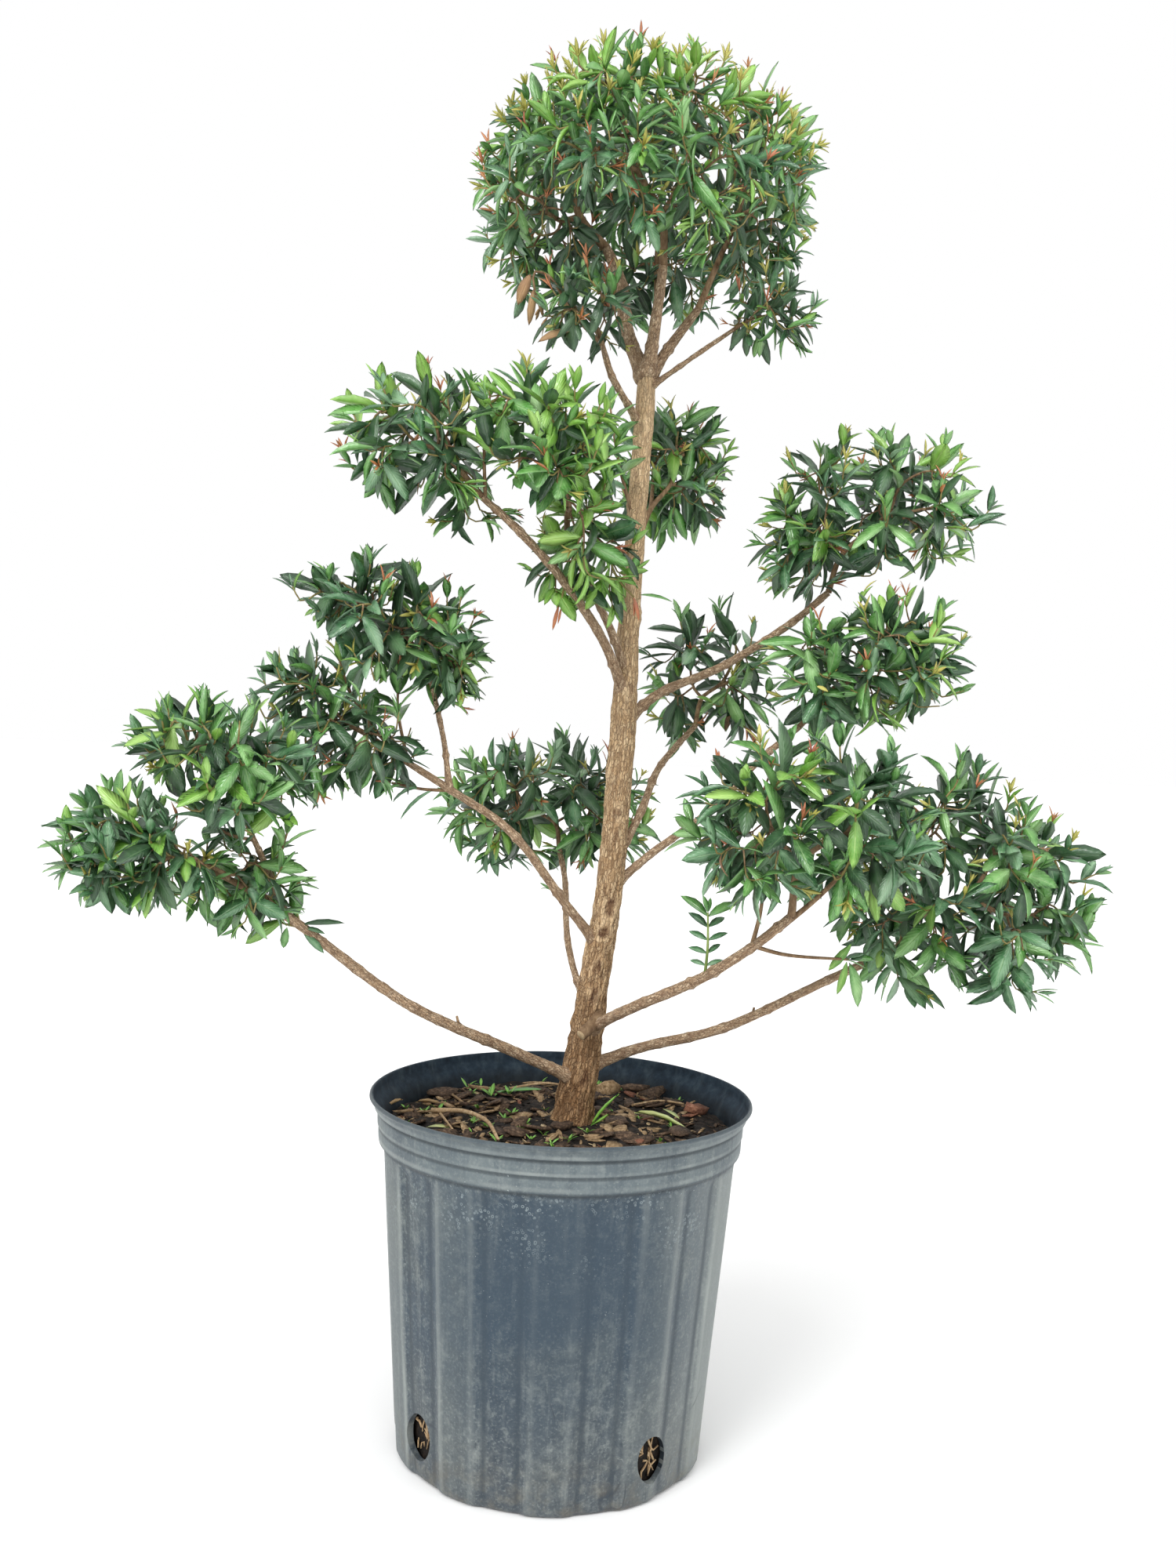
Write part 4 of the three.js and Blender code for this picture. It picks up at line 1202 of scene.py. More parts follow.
def copiesOf(templates, placings):
    # many copies of a few templates as one set of arrays in metres; a placing is the number of
    # its template and a 3x4 matrix in millimetres
    points = []
    faces = []
    kinds = []
    places = []
    count = 0
    for which, template in enumerate(templates):
        matrices = np.array([matrix for index, matrix in placings if index == which]) * mm
        if not len(matrices):
            continue
        size = len(template["points"])
        base = np.c_[template["points"], np.ones(size)]
        points.append(np.einsum("nij,vj->nvi", matrices, base).reshape(-1, 3))
        offsets = count + size * np.arange(len(matrices))
        faces.append((template["faces"][None] + offsets[:, None, None]).reshape(-1, 3))
        kinds.append(np.tile(template["kinds"], len(matrices)))
        places.append(np.tile(template["places"], (len(matrices), 1)))
        count += size * len(matrices)
    return [np.concatenate(rows) for rows in (points, faces, kinds, places)]


def finishCopies(name, templates, placings, finishes, nodes, rounded=True):
    piece = pieceFromArrays(name, *copiesOf(templates, placings))
    if rounded:
        piece.data.shade_smooth()
    finishPiece(piece, name, finishes, nodes)


leafTemplates = [templateOf(modelLeaf(f"leafShape{i}", shape)) for i, shape in enumerate(leafShapes)]
# points over a leaf's outline that say whether it fits
leafProbes = np.array([(x, side * 0.14 * (1 - abs(2 * x - 0.9)), -0.2 * x * x)
                       for x in (0.3, 0.45, 0.6, 0.75, 0.9, 1.0) for side in (-1, 0, 1)])


def risingEnd(points):
    # the last stretch of a twig bends round to grow upwards
    fork, tip = points[-2:]
    span = tip - fork
    length = max(np.linalg.norm(span), 1)
    outward = span / length
    rise = unit(outward * 0.62 + np.array([0, 0, 0.8 if outward[2] > -0.2 else 0.4]))
    bend = tip - rise * min(foliage["risingLength"], 0.6 * length)
    return [*points[:-1], bend, tip]


def smoothed(points):
    # a twig's points as an even, gently curving line
    ends = [np.array(point, float) for point in points]
    if len(ends) == 2:
        ends.insert(1, (ends[0] + ends[1]) / 2)
    return sampled(curveThrough(ends), 6)[1]


def tube(points, radii, sides):
    # a closed tube through the points, as arrays, with each point's place on its own rod
    outs, crosses = framesAlong(points)[1:]
    turns = np.arange(sides) * fullTurn / sides
    rings = (points[:, None, :] + radii[:, None, None] * (
        np.cos(turns)[None, :, None] * outs[:, None, :] + np.sin(turns)[None, :, None] * crosses[:, None, :]))
    count = len(points)
    vertices = np.concatenate([rings.reshape(-1, 3), points[:1], points[-1:]])
    faces = []
    for ring in range(count - 1):
        for k in range(sides):
            a = ring * sides + k
            b = ring * sides + (k + 1) % sides
            faces.append((a, b, b + sides))
            faces.append((a, b + sides, a + sides))
    first = count * sides
    last = first + 1
    top = (count - 1) * sides
    for k in range(sides):
        faces.append((first, (k + 1) % sides, k))
        faces.append((last, top + k, top + (k + 1) % sides))
    steps = lengthsAlong(points)
    circle = np.stack([np.cos(turns), np.sin(turns)], axis=1)
    across = radii[:, None, None] * circle[None]
    along = np.repeat(steps[:, None, None], sides, 1)
    rod = np.concatenate([np.concatenate([across, along], axis=2).reshape(-1, 3),
                          [[0, 0, steps[0]], [0, 0, steps[-1]]]])
    return vertices, np.array(faces), rod


class TubeHeap:
    # gathers many tubes for one piece

    def __init__(self):
        self.points = []
        self.faces = []
        self.rods = []
        self.count = 0

    def add(self, points, radii, sides):
        vertices, faces, rod = tube(points, radii, sides)
        self.points.append(vertices)
        self.faces.append(faces + self.count)
        self.rods.append(rod + np.array([self.count % 97, 0, 0]))  # no two tubes have the same grain
        self.count += len(vertices)

    def addTapered(self, points, foot, tip, sides):
        line = smoothed(points)
        self.add(line, np.linspace(foot, tip, len(line)), sides)
        return line

    def finished(self, name, finish, nodes, rounded=True):
        piece = pieceFromArrays(name, np.concatenate(self.points) * mm, np.concatenate(self.faces))
        addPointAttribute(piece, "rodPlace", np.concatenate(self.rods) * mm)
        if rounded:
            piece.data.shade_smooth()
        finishPiece(piece, name, [finish], nodes)


leafKinds = {
    # piece, finish, its deep, main, pale and rib colours, its roughness, whether its back is paler
    "shaded": ("leavesShaded", "shadedLeaf", [(28, 54, 34), (48, 86, 52), (84, 120, 78), (100, 132, 90)],
               0.36, False),
    "dark": ("leavesDark", "darkLeaf", [(42, 84, 54), (80, 132, 84), (148, 184, 146), (154, 186, 138)],
             0.3, True),
    "mid": ("leavesMiddle", "middleLeaf", [(56, 110, 50), (98, 158, 76), (158, 202, 132), (166, 202, 138)],
            0.3, True),
    "bright": ("leavesBright", "brightLeaf",
               [(92, 150, 50), (126, 180, 70), (166, 206, 108), (192, 220, 132)], 0.36, True),
    "young": ("tipsYoung", "youngLeaf", [(160, 160, 62), (188, 184, 80), (214, 204, 118), (212, 206, 132)],
              0.42, False),
    "red": ("tipsRed", "redTip", [(166, 84, 56), (196, 116, 72), (216, 154, 96), (206, 158, 100)],
            0.42, False),
    "dry": ("leavesDry", "dryLeaf", [(98, 68, 42), (142, 104, 66), (184, 148, 102), (170, 136, 96)],
            0.7, False),
}
woodHeap = TubeHeap()
greenHeap = TubeHeap()
leafHeaps = {kind: [] for kind in leafKinds}


def leafMatrix(root, way, upper, length, breadth):
    # a leaf by the point it grows from, the way it points and the way its face looks
    cross = np.cross(upper, way)
    return np.c_[way * length, cross * length * breadth, upper * length, root]


def addFitting(kind, which, matrix, fits):
    # keeps a leaf only if it fits, and says whether it did
    fitting = fits(leafProbes @ matrix[:, :3].T + matrix[:, 3])
    if fitting:
        leafHeaps[kind].append((which, matrix))
    return fitting


def valueAt(place, places, rows):
    # three numbers at a place between the rows' own places
    return np.array([np.interp(place, places, rows[:, axis]) for axis in range(3)])


def kindOfLeaf(shootKind, pair, shares, root, level, random):
    # young leaves are brighter than their shoot, old ones darker, leaves deep inside a mass get the darker
    # shaded kind as painted shade, and a few have withered
    if np.linalg.norm(root - np.array(foliage["witheredPlace"])) < foliage["witheredReach"]:
        return "dry"
    if random.random() < foliage["withered"]:
        return "dry"
    draw = random.random()
    if level < foliage["shadedWithin"] and draw < shares["shaded"]:
        return "shaded"
    if pair == 0 and draw < 0.5:
        return "bright" if draw < 0.12 + shares["bright"] * 0.5 else "mid"
    if pair >= 4:
        return "dark" if draw < 0.8 - 0.5 * shares["bright"] else "mid"
    return shootKind


def addTuft(line, across, kind, count, fits, random):
    # the slim upright tuft of unfolding leaves at a shoot's tip, the first four closest
    along = unit(line[-1] - line[-2])
    third = np.cross(along, across)
    for turn in range(count):
        outer = turn > 3
        around = turn * math.pi / 2 + (math.pi / 4 if outer else 0)
        side = across * math.cos(around) + third * math.sin(around)
        spread = math.radians((26 if outer else 8) + 18 * random.random())
        way = unit(along * math.cos(spread) + side * math.sin(spread))
        length = foliage["tuftLength"] * (0.7 + 0.6 * random.random())
        matrix = leafMatrix(line[-1], way, squared(along, way), length, 0.5 if kind == "red" else 0.66)
        addFitting(kind, turn % 2, matrix, fits)


def shootColours(shares, random):
    # the kind of a shoot's leaves, how far its leaves spread along it, and the kind of its tuft
    draw = random.random()
    shootKind = "bright"
    if draw < shares["dark"]:
        shootKind = "dark"
    elif draw < shares["dark"] + shares["middle"]:
        shootKind = "mid"
    stretch = 0.9 + 0.25 * random.random()
    draw = random.random()
    tuft = shootKind
    if draw < shares["red"]:
        tuft = "red"
    elif draw < shares["red"] + shares["yellow"]:
        tuft = "young"
    return shootKind, stretch, tuft


def dressShoot(line, pairs, tint, fits, levelAt, random, vigour=1.0):
    # opposite pairs of leaves back from the tip, each pair turned across the last
    lengths = lengthsAlong(line)
    ways = np.gradient(line, axis=0)
    ways /= np.linalg.norm(ways, axis=1)[:, None]
    total = lengths[-1]
    turn = fullTurn * random.random()
    across = np.array([math.cos(turn), math.sin(turn), 0.2])
    topmost = tint == "ball" and line[-1][2] > foliage["crownHeight"]
    shootKind, stretch, tuft = shootColours(tints["crown" if topmost else tint], random)
    stretch *= min(vigour * 1.2, 1)
    coloured = tuft != shootKind
    first = foliage["firstPair"] + (foliage["tuftRoom"] if coloured else 0)
    for pair in range(pairs):
        back = first + foliage["spacing"] * stretch * pair
        if back > total - 2:
            break
        root = valueAt(total - back, lengths, line)
        along = unit(valueAt(total - back, lengths, ways))
        across = unit(np.cross(across, along))
        for side in (-1, 1):
            if pair > 3 and random.random() < foliage["dropped"]:
                continue
            spread = math.radians(foliage["spread"][pair] + about(foliage["spreadPlay"], random))
            way = along * math.cos(spread) + across * side * math.sin(spread)
            way = unit(way + np.array([0, 0, foliage["lean"] * (2 * random.random() - 0.4)]))
            upper = squared(along * 0.6 + np.array([0, 0, 0.6]), way)
            tilt = about(foliage["tilt"], random)
            upper = unit(upper * math.cos(tilt) + np.cross(way, upper) * math.sin(tilt))
            length = foliage["length"] * foliage["sizes"][pair] * (0.84 + 0.32 * random.random()) * vigour
            which = random.randrange(len(leafTemplates))
            breadth = (0.88 + 0.3 * random.random()) * foliage["ballBreadth" if tint == "ball" else "breadth"]
            kind = kindOfLeaf(shootKind, pair, tints[tint], root, levelAt(root), random)
            if pair == 0 and coloured and random.random() < 0.45:
                kind = tuft if random.random() < 0.3 else "bright"
            if kind == "dry":
                way = unit(way * 0.5 + np.array([0, 0, -1]))
                upper = squared(upper, way)
                breadth *= 0.7
            length *= foliage["colouredSize"].get(kind, 1)
            for shrink in (1.0, 0.78):
                if addFitting(kind, which, leafMatrix(root, way, upper, length * shrink, breadth), fits):
                    break
    count = 2
    if coloured:
        count = 8 if tuft == "young" and topmost else 4
    addTuft(line, across, tuft, count, fits, random)


def growMass(index):
    limbName, tint, parts = masses[index][1:]
    random = Random(foliage["seed"] + index)
    limb = limbs[limbName]
    onTrunk = limbName == "trunk"
    foot = limb["at"](shareAtHeight(limb["at"], foliage["leavesTrunkAt"]) if onTrunk else 1)
    heading = unit(parts[0]["centre"] - foot if onTrunk else foot - limb["at"](0.98))
    thickest = foliage["thickestOnTrunk"] if onTrunk else limb["radiusAt"](1)
    twigs = []
    growTwigs(foot, heading, shootTips(index, random), thickest, random, twigs)
    # only the beads in and close round this mass are looked at
    low = np.min([part["centre"] - part["size"] for part in parts], axis=0) - foliage["beadRoom"]
    high = np.max([part["centre"] + part["size"] for part in parts], axis=0) + foliage["beadRoom"]
    near = ((beadPlaces > low) & (beadPlaces < high)).all(axis=1)
    places = beadPlaces[near]
    radii = beadRadii[near] + foliage["limbClearance"]

    def fits(points):
        return ((levelsIn(parts, points) <= foliage["overshoot"]).all()
                and ownsPoints(index, points, foliage["leafMargin"]).all() and clearOf(places, radii, points))

    def levelAt(point):
        return levelsIn(parts, point[None])[0]

    greenShare, greenLength = foliage["greenEnd"]
    for own in twigs:
        line = smoothed(risingEnd(own["points"]))
        steps = lengthsAlong(line)
        total = steps[-1]
        girths = own["radius"] + (foliage["tipRadius"] * 0.8 - own["radius"]) * (steps / total) ** 0.8
        cut = int(np.argmax(steps > total - min(greenShare * total, greenLength)))
        if cut > 0:
            sides = foliage["thickSides"] if own["radius"] > foliage["thickFrom"] else foliage["sides"]
            woodHeap.add(line[:cut + 1], girths[:cut + 1], sides)
        greenHeap.add(line[cut:], girths[cut:], foliage["sides"])
        pairs = random.randint(*foliage["pairs"])
        dressShoot(line, pairs, tint, fits, levelAt, random, foliage["ballVigour"] if tint == "ball" else 1)
    return len(twigs)


twigCount = sum(growMass(i) for i in range(len(masses)))
print(twigCount, "twigs,", {kind: len(heap) for kind, heap in leafHeaps.items()}, "leaves")


def clearOfLimbs(points):
    return clearOf(beadPlaces, beadRadii, points)


spurRandom = Random(58)
for points, footRadius, tipRadius, pairs, vigour, green, tint in spurs:
    line = (greenHeap if green else woodHeap).addTapered(points, footRadius, tipRadius, 6)
    if pairs:
        dressShoot(line, pairs, tint, clearOfLimbs, lambda root: 1, spurRandom, vigour)

sprigHeap = TubeHeap()
line = sprigHeap.addTapered(sprig["line"], *sprig["radii"], 8)
for k, (share, length, spread) in enumerate(sprig["pairs"]):
    root = valueAt(share, np.linspace(0, 1, len(line)), line)
    for side in (-1, 1):
        turn = about(0.3, spurRandom) + (0.5 if k % 2 else -0.2)
        bow = math.radians(spread + about(14, spurRandom))
        sideways = side * math.sin(bow)
        way = np.array([math.cos(turn) * sideways, math.sin(turn) * sideways, math.cos(bow)])
        upper = squared(np.array([0, -0.75, 0.6]), way)
        grown = length * (0.95 + 0.2 * spurRandom.random())
        matrix = leafMatrix(root, way, upper, grown, sprig["breadth"])
        leafHeaps["dark" if k < 4 else "mid"].append((3 if k == 4 else 1, matrix))
for root, tip, breadth, kind in looseLeaves:
    span = np.array(tip, float) - np.array(root, float)
    length = np.linalg.norm(span)
    way = span / length
    upper = squared(np.array([0.1, -0.85, 0.5]), way)
    leafHeaps[kind].append((1, leafMatrix(np.array(root, float), way, upper, length * 1.05, breadth)))

stubHeap = TubeHeap()
line = stubHeap.addTapered(cutStub["line"], cutStub["foot"], cutStub["end"], cutStub["sides"])
faceHeap = TubeHeap()
cutFace = np.array([line[-1], line[-1] + 0.5 * unit(line[-1] - line[-2])])
faceHeap.add(cutFace, np.array([cutStub["end"] - 0.5, cutStub["end"] - 0.9]), cutStub["sides"])

massNames = [mass[0] for mass in masses]
underside = leafFinish("leafUnderside", [(92, 120, 78), (120, 146, 100), (154, 174, 128), (166, 182, 134)],
                       0.5)
leafLimit = 6000  # leaves in one piece
for kind, (name, finishName, colours, roughness, paleBack) in leafKinds.items():
    heap = leafHeaps[kind]
    face = leafFinish(finishName, colours, roughness)
    finishes = [face, underside if paleBack else face]
    for start in range(0, len(heap), leafLimit):
        number = str(start // leafLimit + 1) if len(heap) > leafLimit else ""
        finishCopies(name + number, leafTemplates, heap[start:start + leafLimit], finishes, massNames)

twigBark = plainGrain("twigBark", [(84, 62, 44), (138, 112, 84), (176, 150, 116)], 260, 0.8, (1, 1, 0.4))
youngStem = plainGrain("youngStem", [(104, 92, 54), (136, 122, 74), (160, 150, 98)], 160, 0.5, (1, 1, 0.5))
greenStem = plainGrain("greenStem", [(96, 116, 56), (126, 146, 78), (154, 166, 104)], 160, 0.45, (1, 1, 0.5))
cutWood = plainGrain("cutWood", [(150, 124, 92), (188, 164, 128), (214, 194, 160)], 520, 0.7)
woodHeap.finished("woodyTwigs", twigBark, massNames)
greenHeap.finished("greenStems", youngStem, massNames)
sprigHeap.finished("sprigStem", greenStem, ["bough_low_right_front"])
stubHeap.finished("cutStub", twigBark, ["trunk"])
faceHeap.finished("cutFace", cutWood, ["trunk"], rounded=False)
print("foliage is made")

# Pot

pot = {
    "rimRadius": 152.5,
    "wallTopRadius": 141.5,
    "wallFootRadius": 124,
    "footHeight": 5,
    "fluteTop": 243,
    "panels": 11,
    "panelDepth": 2.5,
    "flatShare": 0.76,
    "wall": 3.2,
    "floor": 3.5,
    "columnsPerPanel": 14,
    # grooves between the bands, each with a line of painted shade: height and half of the width
    "grooves": [(242.5, 1.6), (255.3, 1.1), (267.7, 1.3)],
    # dents of the old wall: how fine across and upwards, and how deep
    "dents": [(9, 7, 0.5), (30, 16, 0.16)],
    # drain holes: bearing, tilt of the oval in degrees
    "holes": [(-52, 16), (38, 10), (128, -12), (218, -14)],
    "holeWidth": 28,
    "holeHeight": 38,
    "holeCentreHeight": 34,
    # radius of the middle of the wall at the foot and how much wider it is at the flutes' top, and
    # the height up to which it parts the inside from the outside
    "wallMiddle": (118.5, 21),
    "insideBelow": 235,
}


def potProfile():
    # radius and height from the middle of the underside out, up, over the lip and back inside
    foot = pot["wallFootRadius"]
    top = pot["wallTopRadius"]
    rim = pot["rimRadius"]
    flute = pot["fluteTop"]
    start = pot["footHeight"]
    outer = [(0, 1.6), (70, 1.6), (foot - 16, 1.4), (foot - 12, 0.2), (foot - 6, 0), (foot - 3.2, 0.5),
             (foot - 1.4, 2.2), (foot - 0.2, start)]
    rise = [(foot + (top - foot) * share, start + (flute - 9 - start) * share)
            for share in np.linspace(0.03, 1, 26)]
    bands = [
        (top + 0.4, flute - 3), (top + 0.8, flute - 0.6), (top + 2.6, flute + 0.6), (top + 3.0, flute + 2.0),
        (top + 3.2, flute + 6), (top + 3.3, flute + 11.6), (top + 3.1, flute + 12.4),
        (top + 3.4, flute + 13.2), (top + 4.1, flute + 14), (top + 4.3, flute + 19),
        (top + 4.3, flute + 23.6), (top + 4.0, flute + 24.6), (top + 4.6, flute + 25.6),
        (top + 6.4, flute + 26.4), (top + 6.9, flute + 27.4), (top + 7.2, flute + 31),
    ]
    lip = [
        (rim - 2.2, flute + 33), (rim - 0.7, flute + 33.8), (rim, flute + 34.8), (rim - 0.2, flute + 36.1),
        (rim - 0.9, flute + 36.9), (rim - 1.9, flute + 37), (rim - 2.8, flute + 36.6),
        (rim - 3.3, flute + 35.4), (rim - 3.7, flute + 32), (rim - 4.6, flute + 28.4),
        (rim - 7.4, flute + 25), (top - 0.2, flute + 18), (top - 1.2, flute + 11),
        (top - pot["wall"] + 0.5, flute + 3),
    ]
    inner = [(foot - pot["wall"] - 2.2 + (top - foot - 0.4) * share, 8 + (flute - 8) * share)
             for share in np.linspace(0.985, 0, 12)]
    return outer + rise + bands + lip + inner + [(foot - 8, pot["floor"]), (0, pot["floor"])]


def fluteDepth(bearing):
    # 0 on a raised panel, 1 on a recessed one, with a slanted step between
    span = math.pi / pot["panels"]
    place = (bearing / span) % 2
    recessed = place >= 1
    off = abs(place - (1.5 if recessed else 0.5)) * 2
    step = min(max((off - pot["flatShare"]) / (1 - pot["flatShare"]), 0), 1) / 2
    step = step * step * (3 - 2 * step) * 2
    return 1 - step / 2 if recessed else step / 2


def spinProfile(profile):
    # a single point, extruded along the profile and spun once round
    deselectAll()
    bpy.ops.mesh.primitive_plane_add(size=0.01)
    body = bpy.context.object
    bpy.ops.object.mode_set(mode="EDIT")
    bpy.ops.mesh.select_mode(type="VERT")
    bpy.ops.mesh.select_all(action="SELECT")
    bpy.ops.mesh.merge(type="CENTER")
    edit = bmesh.from_edit_mesh(body.data)
    edit.verts.ensure_lookup_table()
    edit.verts[0].co = Vector((profile[0][0] * mm, 0, profile[0][1] * mm))
    bmesh.update_edit_mesh(body.data)
    for (r0, z0), (r1, z1) in zip(profile, profile[1:]):
        step = ((r1 - r0) * mm, 0, (z1 - z0) * mm)
        bpy.ops.mesh.extrude_region_move(TRANSFORM_OT_translate={"value": step})
    bpy.ops.mesh.select_all(action="SELECT")
    columns = pot["panels"] * 2 * pot["columnsPerPanel"]
    bpy.ops.mesh.spin(steps=columns, angle=fullTurn, center=(0, 0, 0), axis=(0, 0, 1))
    bpy.ops.mesh.select_all(action="SELECT")
    bpy.ops.mesh.remove_doubles(threshold=0.00002)
    bpy.ops.mesh.normals_make_consistent(inside=False)
    bpy.ops.object.mode_set(mode="OBJECT")
    return body


def panelDepthAt(radius, bearing, height):
    # how far a point of the wall moves in where its panel is recessed
    top = pot["fluteTop"]
    foot = pot["footHeight"]
    if radius < 60 or height > top - 1:
        return 0
    wallShare = (height - foot) / (top - foot)
    wallRadius = pot["wallFootRadius"] + (pot["wallTopRadius"] - pot["wallFootRadius"]) * max(wallShare, 0)
    depth = pot["panelDepth"] * fluteDepth(bearing) * min((top - 1 - height) / 9, 1)
    if radius <= wallRadius - 2.4 and height >= 2.5:
        depth *= 0.5  # the inside follows half as far
    if height < 3:
        depth *= min(max((radius - 100) / 18, 0), 1)
    return depth


def buildPot():
    body = spinProfile(potProfile())
    points = meshPoints(body)
    for i, (x, y, z) in enumerate(points):
        radius = math.hypot(x, y)
        height = z / mm
        shift = -panelDepthAt(radius / mm, math.atan2(y, x), height)
        if radius > 0.06:
            dent = sum(noise.noise(Vector((x * across, y * across, z * up))) * depth
                       for across, up, depth in pot["dents"])
            shift += dent * (0.35 if height < 6 else 1)
        points[i, :2] += points[i, :2] / max(radius, 1e-9) * shift * mm
    setPoints(body, points)
    cutDrainHoles(body)
    smooth(body, 38)
    return body


def cutDrainHoles(body):
    cutters = []
    for bearing, tilt in pot["holes"]:
        deselectAll()
        bpy.ops.mesh.primitive_cylinder_add(vertices=36, radius=1, depth=1)
        cutter = bpy.context.object
        turn = Matrix.Rotation(math.radians(bearing), 4, "Z")
        lean = Matrix.Rotation(math.radians(tilt), 4, "X")
        lay = Matrix.Rotation(math.pi / 2, 4, "Y")
        size = Matrix.Diagonal((pot["holeHeight"] / 2 * mm, pot["holeWidth"] / 2 * mm, 0.04, 1))
        out = Matrix.Translation(((pot["wallFootRadius"] - 2) * mm, 0, pot["holeCentreHeight"] * mm))
        cutter.data.transform(turn @ out @ lean @ lay @ size)
        cutters.append(cutter)
    cutter = joinPieces("drainCutter", cutters)
    modifier = body.modifiers.new("drainHoles", "BOOLEAN")
    modifier.operation = "DIFFERENCE"
    modifier.object = cutter
    modifier.solver = "EXACT"
    selectOnly(body)
    bpy.ops.object.modifier_apply(modifier=modifier.name)
    bpy.data.objects.remove(cutter)


def facesInside(face):
    # whether a face looks to the middle or lies within the middle of the wall
    x, y, z = face.center / mm
    reach = math.hypot(x, y)
    foot, widening = pot["wallMiddle"]
    inward = face.normal.x * x + face.normal.y * y < -0.3 * reach
    return inward or (z < pot["insideBelow"] and reach < foot + widening * z / pot["fluteTop"])


potPiece = buildPot()
finishPiece(potPiece, "potShell", [potFinish(), potInsideFinish()], ["pot"])
for face in potPiece.data.polygons:
    face.material_index = int(facesInside(face))
print("pot is made")

# Potting mix

mix = {
    "level": 258,
    "footRadius": 115.2,
    "topRadius": 136.7,
    "footHeight": 4.2,
    # heights of the rings of its side, from the top down to the one above its foot
    "rings": [250, 200, 130, 62, 48, 34, 20],
    "bumps": 3.4,
    "settled": 1.5,
    # the heap round the trunk, by its height and breadth, and the slope down to the wall, by the
    # radius where it starts and its steepness
    "heap": (2.2, 30),
    "edge": (118, 0.12),
    # how far out a bit on the mix may reach, how far out bits are scattered, and their room
    # to the middle of the trunk
    "reach": 137,
    "scatterReach": 134,
    "trunkRoom": 18.5,
}


def mixRadius(height):
    # just inside the pot's wall
    share = min(max((height - mix["footHeight"]) / (pot["fluteTop"] - mix["footHeight"]), 0), 1)
    return mix["footRadius"] + (mix["topRadius"] - mix["footRadius"]) * share


def fromTrunk(x, y):
    footX, footY = trunk["path"][0][:2]
    return math.hypot(x - footX, y - footY)


def mixHeight(x, y):
    coarse = noise.noise(Vector((x / 26, y / 26, 3.3)))
    middle = noise.noise(Vector((x / 9, y / 9, 8.1)))
    fine = noise.noise(Vector((x / 3.2, y / 3.2, 1.7)))
    heapHeight, heapBreadth = mix["heap"]
    heap = heapHeight * math.exp(-(fromTrunk(x, y) / heapBreadth) ** 2)
    edgeRadius, slope = mix["edge"]
    edge = max(math.hypot(x, y) - edgeRadius, 0) * slope
    bumps = mix["bumps"] * (0.9 * coarse + 0.5 * middle + 0.22 * fine)
    return mix["level"] + bumps + heap - edge - mix["settled"]


def buildMix():
    level = mix["level"]
    deselectAll()
    bpy.ops.mesh.primitive_circle_add(vertices=180, radius=mixRadius(level) * mm, fill_type="TRIFAN",
                                      location=(0, 0, level * mm))
    block = bpy.context.object
    bpy.ops.object.transform_apply(location=True)
    bpy.ops.object.mode_set(mode="EDIT")
    selectEdges(block, lambda edge: min(vertex.co.xy.length for vertex in edge.verts) < 1e-5)
    bpy.ops.mesh.subdivide(number_cuts=59, quadcorner="INNERVERT")
    selectEdges(block, lambda edge: edge.is_boundary)
    before = level
    for height in [*mix["rings"], mix["footHeight"]]:
        bpy.ops.mesh.extrude_region_move(TRANSFORM_OT_translate={"value": (0, 0, (height - before) * mm)})
        share = mixRadius(height) / mixRadius(before)
        bpy.ops.transform.resize(value=(share, share, 1), center_override=(0, 0, 0))
        before = height
    bpy.ops.mesh.edge_face_add()
    bpy.ops.mesh.select_mode(type="VERT")
    bpy.ops.mesh.select_all(action="SELECT")
    bpy.ops.mesh.normals_make_consistent(inside=False)
    bpy.ops.object.mode_set(mode="OBJECT")
    points = meshPoints(block)
    for i, (x, y, z) in enumerate(points):
        reach = math.hypot(x, y) / mm
        if z > (level - 1) * mm:
            points[i, 2] = mixHeight(x / mm, y / mm) * mm
        elif z < 240 * mm and reach > 60:
            rough = noise.noise(Vector((x / mm / 5, y / mm / 5, z / mm / 5))) - 1
            points[i, :2] *= 1 + rough / reach
    setPoints(block, points)
    smooth(block, 50)
    return block


def modelChip(name, seed, length, width, thick):
    # one shard of bark: a slab knocked out of true
    deselectAll()
    bpy.ops.mesh.primitive_cube_add(size=1)
    chip = bpy.context.object
    chip.name = name
    bpy.ops.object.mode_set(mode="EDIT")
    selectEdges(chip, lambda edge: edgeSpan(edge, 0) > 0.5)
    bpy.ops.mesh.subdivide(number_cuts=2)
    bpy.ops.mesh.select_mode(type="VERT")
    bpy.ops.mesh.select_all(action="SELECT")
    bpy.ops.mesh.quads_convert_to_tris()
    bpy.ops.object.mode_set(mode="OBJECT")
    shake = Random(seed)
    points = meshPoints(chip)
    for i, (x, y, z) in enumerate(points):
        taper = 1 - 0.55 * abs(x * 2) ** 2 * (0.5 + shake.random())
        points[i] = (
            length * (x + about(0.16, shake)),
            width * (y * taper + about(0.18, shake)),
            thick * (z * (1 - 0.3 * abs(x * 2)) + about(0.35, shake)) + 0.06 * length * x * x,
        )
    setPoints(chip, points)
    return chip


def onMix(x, y, lift):
    return np.array([x, y, mixHeight(x, y) + lift])


def chipPlacing(x, y, size, which, bearing, lean, roll, lift):
    turned = Matrix.Rotation(bearing, 3, "Z") @ Matrix.Rotation(lean, 3, "Y") @ Matrix.Rotation(roll, 3, "X")
    return (which, np.c_[np.array(turned) * size, onMix(x, y, lift)])


def withinPot(x, y, room):
    # the place, moved inwards where it would leave too little room to the wall
    share = min(1, (mix["reach"] - room) / math.hypot(x, y))
    return x * share, y * share


